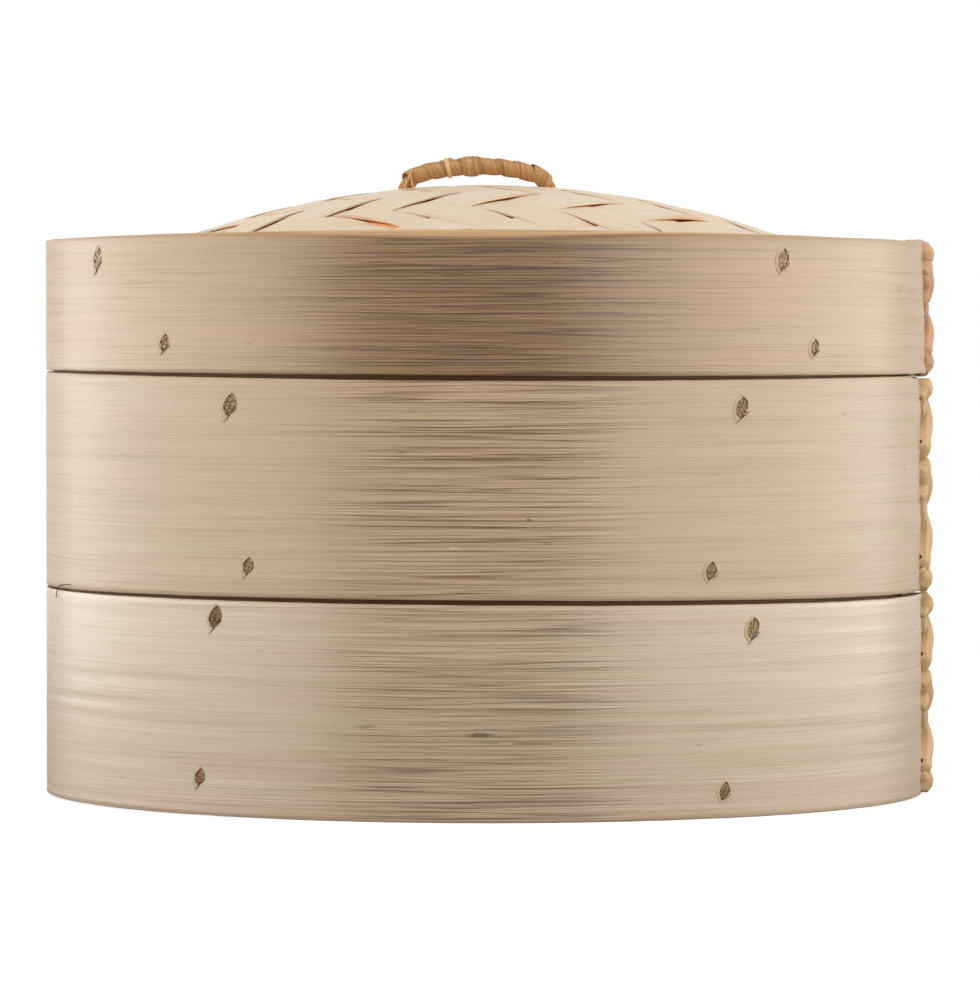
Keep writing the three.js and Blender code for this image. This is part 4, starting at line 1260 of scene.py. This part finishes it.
def peg_lip(name, ring, angle, height, size, seed):
    """The raised lip of the strip on the left of a peg hole, coloured pale: a painted highlight."""
    inside = peg_outline(seed, size, LIP_PLAY)
    outside = peg_outline(seed, size, LIP_WIDTH)
    left = [corner for corner in range(PEG_SIDES) if inside[corner][0] - PEG_LEAN * inside[corner][1] < 0.0]
    points = []
    for step, corner in enumerate(left):
        rise = LIP_RISE * math.sin(math.pi * (step + 0.5) / len(left))
        for (across, up), out in ((inside[corner], rise), (outside[corner], LIP_EDGE),
                                  (outside[corner], LIP_ROOT), (inside[corner], LIP_ROOT)):
            points.append(spot(angle + math.degrees(across / HOOP_RADIUS), HOOP_RADIUS + out, height + up))
    new_piece(name, points, skin_faces(len(left), 4), LIP_HIGHLIGHT, BODY[ring])


for ring in RINGS:
    for index, (node, angle, height, size) in enumerate(PEGS[ring]):
        known = [node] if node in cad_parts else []
        peg_bundle(f"{node}_stick", ring, angle, height, size, index, known)
        peg_lip(f"{node}_lip", ring, angle, height, size, index)
    print(ring, "has", len(PEGS[ring]), "pegs")

# %% [markdown]
# ## Lacing
# One flat cane sews the lap shut. It climbs in a zigzag between two columns of slots and comes
# down half a stitch off, across its own run, so that the outside is covered by a braid from rim
# to rim. Each dip is a short upright stitch inside. The path is a smooth curve through chosen
# points, and the cane is swept along it with its domed side out. Where it stands off the hoop it is
# as thick as two, because the maker lays the cane double. Stored grain makes the fibres follow it.


# %% A ribbon swept along a smooth path
def smooth_path(points, steps):
    """A smooth curve through points, with a number of steps from each to the next."""
    path = []
    for index in range(len(points) - 1):
        a = points[max(0, index - 1)]
        b, c = points[index], points[index + 1]
        d = points[min(len(points) - 1, index + 2)]
        for step in range(steps):
            t = step / steps
            path.append(0.5 * ((2 * b) + (c - a) * t + (2 * a - 5 * b + 4 * c - d) * t * t
                               + (3 * b - a - 3 * c + d) * t * t * t))
    path.append(points[-1])
    return path


RIBBON = [(-0.5, 0.0), (-0.44, 0.55), (-0.22, 0.9), (0.0, 1.0), (0.22, 0.9), (0.44, 0.55), (0.5, 0.0),
          (0.3, -0.08), (-0.3, -0.08)]
RIBBON_WAVE, RIBBON_WAVES = 0.07, 60


def ribbon(stations, width, thickness, seed=0.0, tucks=None, fills=None):
    """Points, faces and grain of a cane with a domed side, through stations of a centre and two ways."""
    points, grain = [], []
    along = 0.0
    before = stations[0][0]
    for index, (centre, across, outward) in enumerate(stations):
        along += (centre - before).length
        before = centre
        wide = width * (1 + RIBBON_WAVE * ripple(along * RIBBON_WAVES, seed))
        if tucks:
            wide *= 1 - tucks[index]
        fill = fills[index] if fills else 0.0
        for side, up in RIBBON:
            rise = (up - 0.5) * thickness - (1 - up) * fill
            points.append(tuple(centre + across * (side * wide) + outward * rise))
            grain.append((along + seed, 0.0, side * wide + seed * 0.1))
    return points, skin_faces(len(stations), len(RIBBON)), grain


# %% The lacing of each lap
LACE_WIDTH = 7.5 * MM
LACE_THICKNESS = 1.35 * MM
LACE_CLEAR = 0.1 * MM
LACE_DIP = 0.8 * MM
LACE_LIFT = 0.15 * MM
LACE_LOWEST = 1.2 * MM
LACE_STEPS = 5
LACE_VIEW = 6
LACE_FILL = 0.3 * MM
LACE_PUFF = {"lower": 1.7 * MM, "upper": 1.4 * MM, "lid": 1.8 * MM}
LACE_TUCK = 0.26
LACE_ENDS = {"lower": (0.1 * MM, 0.1 * MM), "upper": (-0.45 * MM, -0.9 * MM), "lid": (-0.85 * MM, 1.0 * MM)}
LACE_SEED = 0.3
CROSSING = (0.1, 0.3, 0.5, 0.7, 0.9)


def laced_wall(ring, angle):
    """The outer and inner radius of the wall that the lacing goes round, near a lap."""
    outer, inner = strip_faces(min(360 + LAP[ring] - angle, 360 + OVERLAP))
    return (HOOP_RADIUS if angle <= LAP[ring] else outer), inner


def lace_points(ring):
    """The lacing's way-points: each has an angle, a height and a radius."""
    columns = lace_columns(ring)
    half = LACE_THICKNESS / 2
    way_points = []
    dips = lace_dips(ring)
    for index, (column, level, way) in enumerate(dips):
        inside = laced_wall(ring, columns[column])[1] - LACE_CLEAR - half
        for side in (-way, way):
            way_points.append((columns[column], lace_level(ring, level) + side * LACE_DIP, inside))
        if index + 1 == len(dips):
            break
        next_column, next_level, next_way = dips[index + 1]
        lift = LACE_THICKNESS + LACE_LIFT if next_way < 0 else 0.0
        for share in CROSSING:
            angle = columns[column] + (columns[next_column] - columns[column]) * share
            wall = max(laced_wall(ring, angle)[0], HOOP_RADIUS - LACE_LOWEST)
            hill = math.sin(math.pi * share)
            radius = wall + LACE_CLEAR + half + LACE_PUFF[ring] * hill + lift * ease(hill)
            height = lace_level(ring, level + (next_level - level) * share)
            way_points.append((angle, height, radius))
    return way_points


def lace_stations(ring):
    """The centre, the way across and the way out at each step of the lacing."""
    flat = [Vector((math.radians(a) * HOOP_RADIUS, h, r)) for a, h, r in lace_points(ring)]
    path = smooth_path(flat, LACE_STEPS)
    stations = []
    for index, (arc, height, radius) in enumerate(path):
        turn = arc / HOOP_RADIUS
        around = Vector((math.cos(turn), math.sin(turn), 0))
        out = Vector((math.sin(turn), -math.cos(turn), 0))
        behind, ahead = path[max(0, index - LACE_VIEW)], path[min(len(path) - 1, index + LACE_VIEW)]
        flow = Vector((ahead.x - behind.x, ahead.y - behind.y)).normalized()
        near, far = path[max(0, index - 1)], path[min(len(path) - 1, index + 1)]
        step = far - near
        along = (around * step.x + out * step.z + Vector((0, 0, step.y))).normalized()
        side = around * -flow.y + Vector((0, 0, flow.x))
        outward = along.cross(side).normalized()
        across = outward.cross(along).normalized()
        stations.append((out * radius + Vector((0, 0, height)), across, outward))
    return stations


for ring in RINGS:
    stations = lace_stations(ring)
    above = [math.hypot(centre.x, centre.y) - HOOP_RADIUS for centre, _, _ in stations]
    tucks = [LACE_TUCK * ease(-height / STRIP) for height in above]
    fills = [max(0.0, height - LACE_THICKNESS / 2 + LACE_FILL) for height in above]
    seed = RINGS.index(ring) * LACE_SEED
    points, faces, grain = ribbon(stations, LACE_WIDTH, LACE_THICKNESS, seed, tucks, fills)
    lowest = FOOT[ring] + LOW_EDGE[ring][2] * MM + LACE_ENDS[ring][0]
    highest = BRINK[ring] + HIGH_EDGE[ring][2] * MM + LACE_ENDS[ring][1]
    points = [(x, y, min(highest, max(lowest, z))) for x, y, z in points]
    look = LID_CANE if ring == "lid" else PALE_CANE
    new_piece(f"{ring}_lacing_cane", points, faces, look, BODY[ring], [f"{ring}_lacing"], grain)
    print(ring, "lacing reaches", round(max(math.hypot(x, y) for x, y, _ in points) / MM, 2), "mm")

# %% [markdown]
# ## Woven dome
# The dome is a two-over-two-under twill of splints as wide as a thumb, laid at 45 degrees to the
# front. Each splint is its own thin sheet that follows the dome and rises over two neighbours and
# dives under the next two. Where it comes up, its edge stands free like an eyelid with a thickened
# lip, and the wood beneath shows. The lip and the wood beneath are tinted orange: a painted glow of
# light through the thin splints. Some stand more loosely than others, so each way has its own list of
# them, in millimetres. A second, flatter twill lines the dome inside, coloured a light orange: the
# same painted glow.

# %% Sizes of the woven dome
DOME_FOOT = 112 * MM
DOME_RIM = 118.6 * MM
DOME_RISE = 26.1 * MM
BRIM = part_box("lid_top_hoop")[0][2]
CREST = BRIM + DOME_RISE
DOME_BALL = (DOME_FOOT ** 2 + (CREST - BRIM) ** 2) / (2 * (CREST - BRIM))
SPLINT_PITCH = 15.5 * MM
WEAVE_START = (0.17, 0.53)
SPLINT_STEP = 2.0 * MM
SPLINT_COLUMNS = 8
SINK = {"right": 1.2, "left": 1.65}
GAP = {"right": 0.8 * MM, "left": 0.3 * MM}
EYELID_DEPTH = 0.45
EYELID_FRONT = -18 * MM
EYELID_REACH = 16 * MM
EYELID_LIP = 0.7
EYELID_ROLL = 0.2
SPLINT_SEED, LEFT_SEED = 3.1, 50
RIM_EDGE = 1 * MM
RIM_SLIVER = 3 * MM
FLOAT_SHARP = 1.7
FLOAT_LEVEL, FLOAT_ROUND = 0.8, 0.2
CUP = 0.16
FUZZ, FUZZ_WAVES = 0.05, 90
GAP_LEAST, GAP_WAVE, GAP_WAVES = 0.5, 0.9, 38
SHIFTED = {"right": {-5: -0.23, -4: -0.12}, "left": {-5: 0.36}}
LOOSE = {
    "right": {-5: 1.45, -4: 0.7, -3: 0.6, -2: 0.45, -1: 0.25, 0: 0.4, 1: 0.4, "rest": 0.2},
    "left": {-5: 0.7, "rest": 0.05},
}
print("dome rises from", round(BRIM, 4), "to", round(CREST, 4))


# %% One splint
def dome_height(x, y):
    """Height of the dome's outside over a point in plan."""
    inside = min(math.hypot(x, y), DOME_FOOT)
    return BRIM + math.sqrt(DOME_BALL ** 2 - inside ** 2) - math.sqrt(DOME_BALL ** 2 - DOME_FOOT ** 2)


def weave_rise(along, crossing):
    """From 1 where a splint is over to -1 where it is under, with its crossings at whole numbers."""
    swing = math.sin(math.pi * (along + crossing) / 2)
    return max(-1.0, min(1.0, FLOAT_SHARP * swing)) * (FLOAT_LEVEL + FLOAT_ROUND * abs(swing))


def splint(way, index, drop, lift, thickness, gap, loose):
    """Points, faces and cover of one splint. way is right for one that runs up to the right, else left."""
    seed = index * SPLINT_SEED + (LEFT_SEED if way == "left" else 0)
    own, other = (WEAVE_START[1], WEAVE_START[0]) if way == "right" else WEAVE_START
    first, last = ((edge + own + SHIFTED[way].get(edge, 0.0)) * SPLINT_PITCH for edge in (index, index + 1))
    points, cover = [], []
    if min(abs(first), abs(last)) > DOME_RIM - RIM_SLIVER and first * last > 0:
        return [], [], []
    rows = round(2 * DOME_RIM / SPLINT_STEP)
    for row in range(rows + 1):
        share = 2 * row / rows - 1
        section, deep = [], []
        for column in range(SPLINT_COLUMNS + 1):
            part = column / SPLINT_COLUMNS
            sideways = first + (last - first) * part
            held = max(-DOME_RIM + RIM_EDGE, min(DOME_RIM - RIM_EDGE, sideways))
            along = share * math.sqrt(DOME_RIM ** 2 - held ** 2)
            wave = max(0.0, ripple(along * GAP_WAVES, seed, 1 if part < 0.5 else 5))
            held += gap * (GAP_LEAST + GAP_WAVE * wave) * (1 - 2 * part)
            u, v = (along, held) if way == "right" else (held, along)
            x, y = (u - v) / math.sqrt(2), (u + v) / math.sqrt(2)
            count = along / SPLINT_PITCH - other
            over = weave_rise(count, index)
            rise = -over if way == "right" else over
            cup = CUP * lift * (1 - (2 * part - 1) ** 2)
            fuzz = FUZZ * lift * ripple(along * FUZZ_WAVES, held * FUZZ_WAVES, seed)
            passed = ((count + index) / 2 + (way == "right")) % 2
            eyelid = loose * math.sin(math.pi * passed * passed) if passed < 1 else 0.0
            eyelid *= max(0.0, 1 - part / EYELID_DEPTH) ** 2 * ease((EYELID_FRONT - y) / EYELID_REACH)
            top = dome_height(x, y) - drop - SINK[way] * lift + lift * rise + cup + fuzz
            lip = EYELID_LIP * eyelid * max(0.0, 1 - part / EYELID_ROLL)
            section.append((x, y, top + eyelid))
            deep.append((x, y, top + eyelid - thickness - lip))
            # Covered wood and every underside get the orange tint: a painted glow.
            cover.append((-rise, 0.0, 0.0))
        points += section + deep[::-1]
        cover += [(1.0, 0.0, 0.0)] * len(section)
    return points, skin_faces(rows + 1, 2 * (SPLINT_COLUMNS + 1)), cover


# %% The layers of the weave
def weave(name, way, look, drop, lift, thickness, gap, node, loose):
    """All the splints of one layer that run one way, as one piece."""
    points, faces, cover = [], [], []
    reach = math.ceil(DOME_RIM / SPLINT_PITCH) + 1
    for index in range(-reach, reach):
        made_points, made_faces, made_cover = splint(way, index, drop, lift, thickness, gap,
                                                     loose.get(index, loose["rest"]) * MM)
        start = len(points)
        points += made_points
        cover += made_cover
        faces += [tuple(start + corner for corner in face) for face in made_faces]
    new_piece(name, points, faces, look, BODY["lid"], [node], cover, sharp=50)
    print(name, len(points), "points")


SPLINT_THICK = 0.4 * MM
SPLINT_LIFT = 0.55 * MM
LINING_DROP = 2.1 * MM
LINING_LIFT = 0.3 * MM
LINING_GAP = 0.5 * MM
for way in ("right", "left"):
    weave(f"dome_splints_{way}", way, SPLINT[way], 0.0, SPLINT_LIFT, SPLINT_THICK, GAP[way],
          "lid_dome_weave", LOOSE[way])
    weave(f"lining_splints_{way}", way, LINING[way], LINING_DROP, LINING_LIFT, SPLINT_THICK, LINING_GAP,
          "lid_dome_lining", {"rest": 0.0})

# %% [markdown]
# ## Handle
# A bent core of cane stands up through the weave, and a flat cane is wound round it so that each
# turn covers the edge of the one before. The winding is one ribbon whose section leans like a roof
# tile. The arch's points are those of the model's handle, at their real size. Two more turns bind
# the winding left of its top, and two loose strands lean on its left foot.

# %% The handle's core
HANDLE_X = -2 * MM
HALF_SPAN = 20.9 * MM
HANDLE_RISE = 5.3 * MM
HANDLE_DROP = 5.1 * MM
CORE = 1.55 * MM
ARCH = [(-0.02, -1), (-0.62, -1), (-0.88, -0.86), (-0.99, -0.5), (-1, -0.14), (-0.86, 0.44), (-0.62, 0.75),
        (-0.31, 0.95), (0, 1), (0.31, 0.95), (0.62, 0.75), (0.86, 0.44), (1, -0.14), (0.99, -0.5),
        (0.88, -0.86), (0.62, -1), (0.02, -1)]
arch = smooth_path([
    Vector((HANDLE_X + across * HALF_SPAN, 0, CREST + up * (HANDLE_RISE if up > 0 else HANDLE_DROP)))
    for across, up in ARCH
], steps=10)


def tube(path, radius, sides, axis=Vector((0, 1, 0))):
    """Points, faces and grain of a round bar whose path lies across an axis."""
    points, grain, along = [], [], 0.0
    for index, centre in enumerate(path):
        way = (path[min(len(path) - 1, index + 1)] - path[max(0, index - 1)]).normalized()
        up = axis.cross(way).normalized()
        along += (centre - path[max(0, index - 1)]).length
        for side in range(sides):
            turn = 2 * math.pi * side / sides
            points.append(tuple(centre + up * (radius * math.cos(turn)) + axis * (radius * math.sin(turn))))
            grain.append((along, 0, radius * turn))
    return points, skin_faces(len(path), sides), grain


points, faces, grain = tube(arch, CORE, sides=12)
new_piece("handle_core_cane", points, faces, CANE, BODY["lid"], ["lid_handle_core"], grain)
print("handle core has", len(points), "points")

# %% The handle's winding
WIND_PITCH = 5.1 * MM
WIND_WIDTH = 6.3 * MM
WIND_THICKNESS = 0.55 * MM
WIND_STEPS = 30
WIND_LEAN = 0.09
WIND_FOOT = 0.3 * MM
WIND_CLEAR = 0.12 * MM
WIND_WAVE, WIND_WAVES = 0.1 * MM, 300
WIND_OUT = 0.25 * MM


def arch_lengths():
    """The length along the arch up to each of its points."""
    lengths = [0.0]
    for before, after in zip(arch, arch[1:]):
        lengths.append(lengths[-1] + (after - before).length)
    return lengths


lengths = arch_lengths()


def arch_at(along):
    """The centre and the direction of the arch at a length along it."""
    index = max(i for i, length in enumerate(lengths) if length <= along or i == 0)
    index = min(index, len(arch) - 2)
    share = (along - lengths[index]) / (lengths[index + 1] - lengths[index])
    return arch[index].lerp(arch[index + 1], share), (arch[index + 1] - arch[index]).normalized()


raised = [length for centre, length in zip(arch, lengths) if centre.z > CREST + WIND_FOOT]
wind_start, wind_end = raised[0], raised[-1]


def wind_station(along):
    """The centre, the way across and the way out of the winding at a length along the arch."""
    centre, way = arch_at(along)
    side = Vector((0, 1, 0))
    up = side.cross(way)
    turn = 2 * math.pi * along / WIND_PITCH
    outward = up * math.cos(turn) + side * math.sin(turn)
    leaning = (outward + way * WIND_LEAN).normalized()
    across = (way - outward * WIND_LEAN).normalized()
    radius = CORE + WIND_THICKNESS / 2 + WIND_CLEAR + WIND_WAVE * ripple(along * WIND_WAVES)
    return centre + outward * (radius + WIND_OUT), across, leaning


turns = (wind_end - wind_start) / WIND_PITCH
steps = round(turns * WIND_STEPS)
stations = [wind_station(wind_start + (wind_end - wind_start) * step / steps) for step in range(steps + 1)]
points, faces, grain = ribbon(stations, WIND_WIDTH, WIND_THICKNESS, seed=1.7)
new_piece("handle_winding_cane", points, faces, CANE, BODY["lid"], ["lid_handle_wrap"], grain)
print("handle winding has", round(turns, 1), "turns")

# %% Bindings and loose strands of the handle
BINDING_LEVEL = 1.6
BINDING_OUT = 0.25 * MM
BINDING_CREEP = 1.2 * MM
BINDINGS = ((2.2 * MM, 4.4 * MM, CANE), (8.6 * MM, 1.3 * MM, PALE_CANE))
FOOT_STRAND = 0.35 * MM
FOOT_STRAND_BOW = Vector((0, -0.3 * MM, 0))
FOOT_STRANDS = [
    ((-0.6 * MM, -2.7 * MM, -1.5 * MM), (1.7 * MM, -3.0 * MM, 4.2 * MM)),
    ((1.8 * MM, -2.6 * MM, -1.5 * MM), (0.8 * MM, -3.0 * MM, 3.4 * MM)),
]


def wind_turn(along, clear):
    """The stations of one more turn round the winding, clear of it, at a length along the arch."""
    made = []
    for step in range(WIND_STEPS + 1):
        centre, way = arch_at(along + BINDING_CREEP * step / WIND_STEPS)
        side = Vector((0, 1, 0))
        turn = 2 * math.pi * step / WIND_STEPS + math.pi
        outward = side.cross(way) * math.cos(turn) + side * math.sin(turn)
        made.append((centre + outward * (CORE + BINDING_LEVEL * WIND_THICKNESS + clear), way, outward))
    return made


for index, (before, width, look) in enumerate(BINDINGS):
    turn = wind_turn(lengths[-1] / 2 - before, BINDING_OUT)
    points, faces, grain = ribbon(turn, width, WIND_THICKNESS, seed=2.3 + index)
    new_piece(f"handle_binding_{index + 1}", points, faces, look, BODY["lid"], [], grain)
foot = arch_at(wind_start)[0]
for index, (start, end) in enumerate(FOOT_STRANDS):
    start, end = Vector(start), Vector(end)
    path = smooth_path([foot + start, foot + (start + end) / 2 + FOOT_STRAND_BOW, foot + end], steps=6)
    points, faces, grain = tube(path, FOOT_STRAND, sides=6)
    new_piece(f"handle_strand_{index + 1}", points, faces, PALE_CANE, BODY["lid"], [], grain)
print("bindings:", len(BINDINGS), "strands:", len(FOOT_STRANDS))

# %% [markdown]
# ## A loose fibre
# One fibre has split off the lower edge of the upper basket at the left, and hangs over the rim of
# the basket below as a thin hook. Such hairs are left by splitting and are never all shaved off.

# %% The loose fibre at the left
HAIR_RADIUS = 0.13 * MM
HAIR_ROOT, HAIR_FACING = -70, -71
HAIR = [(-67.0, 1.3, 0.02), (-69.5, 1.2, 0.2), (-71.4, 0.6, 0.4), (-72.7, -1.0, 0.4), (-73.2, -2.8, 0.3)]
hair_root = FOOT["upper"] + foot_offset("upper", HAIR_ROOT)
hair_spots = [spot(angle, HOOP_RADIUS + out * MM, hair_root + up * MM) for angle, up, out in HAIR]
hair = smooth_path([Vector(place) for place in hair_spots], steps=6)
facing = Vector(spot(HAIR_FACING, 1.0, 0.0))
points, faces, grain = tube(hair, HAIR_RADIUS, sides=6, axis=facing)
new_piece("upper_loose_fibre", points, faces, DARK_SPLINTER, BODY["upper"], [], grain)
print("loose fibre of", len(hair), "steps")
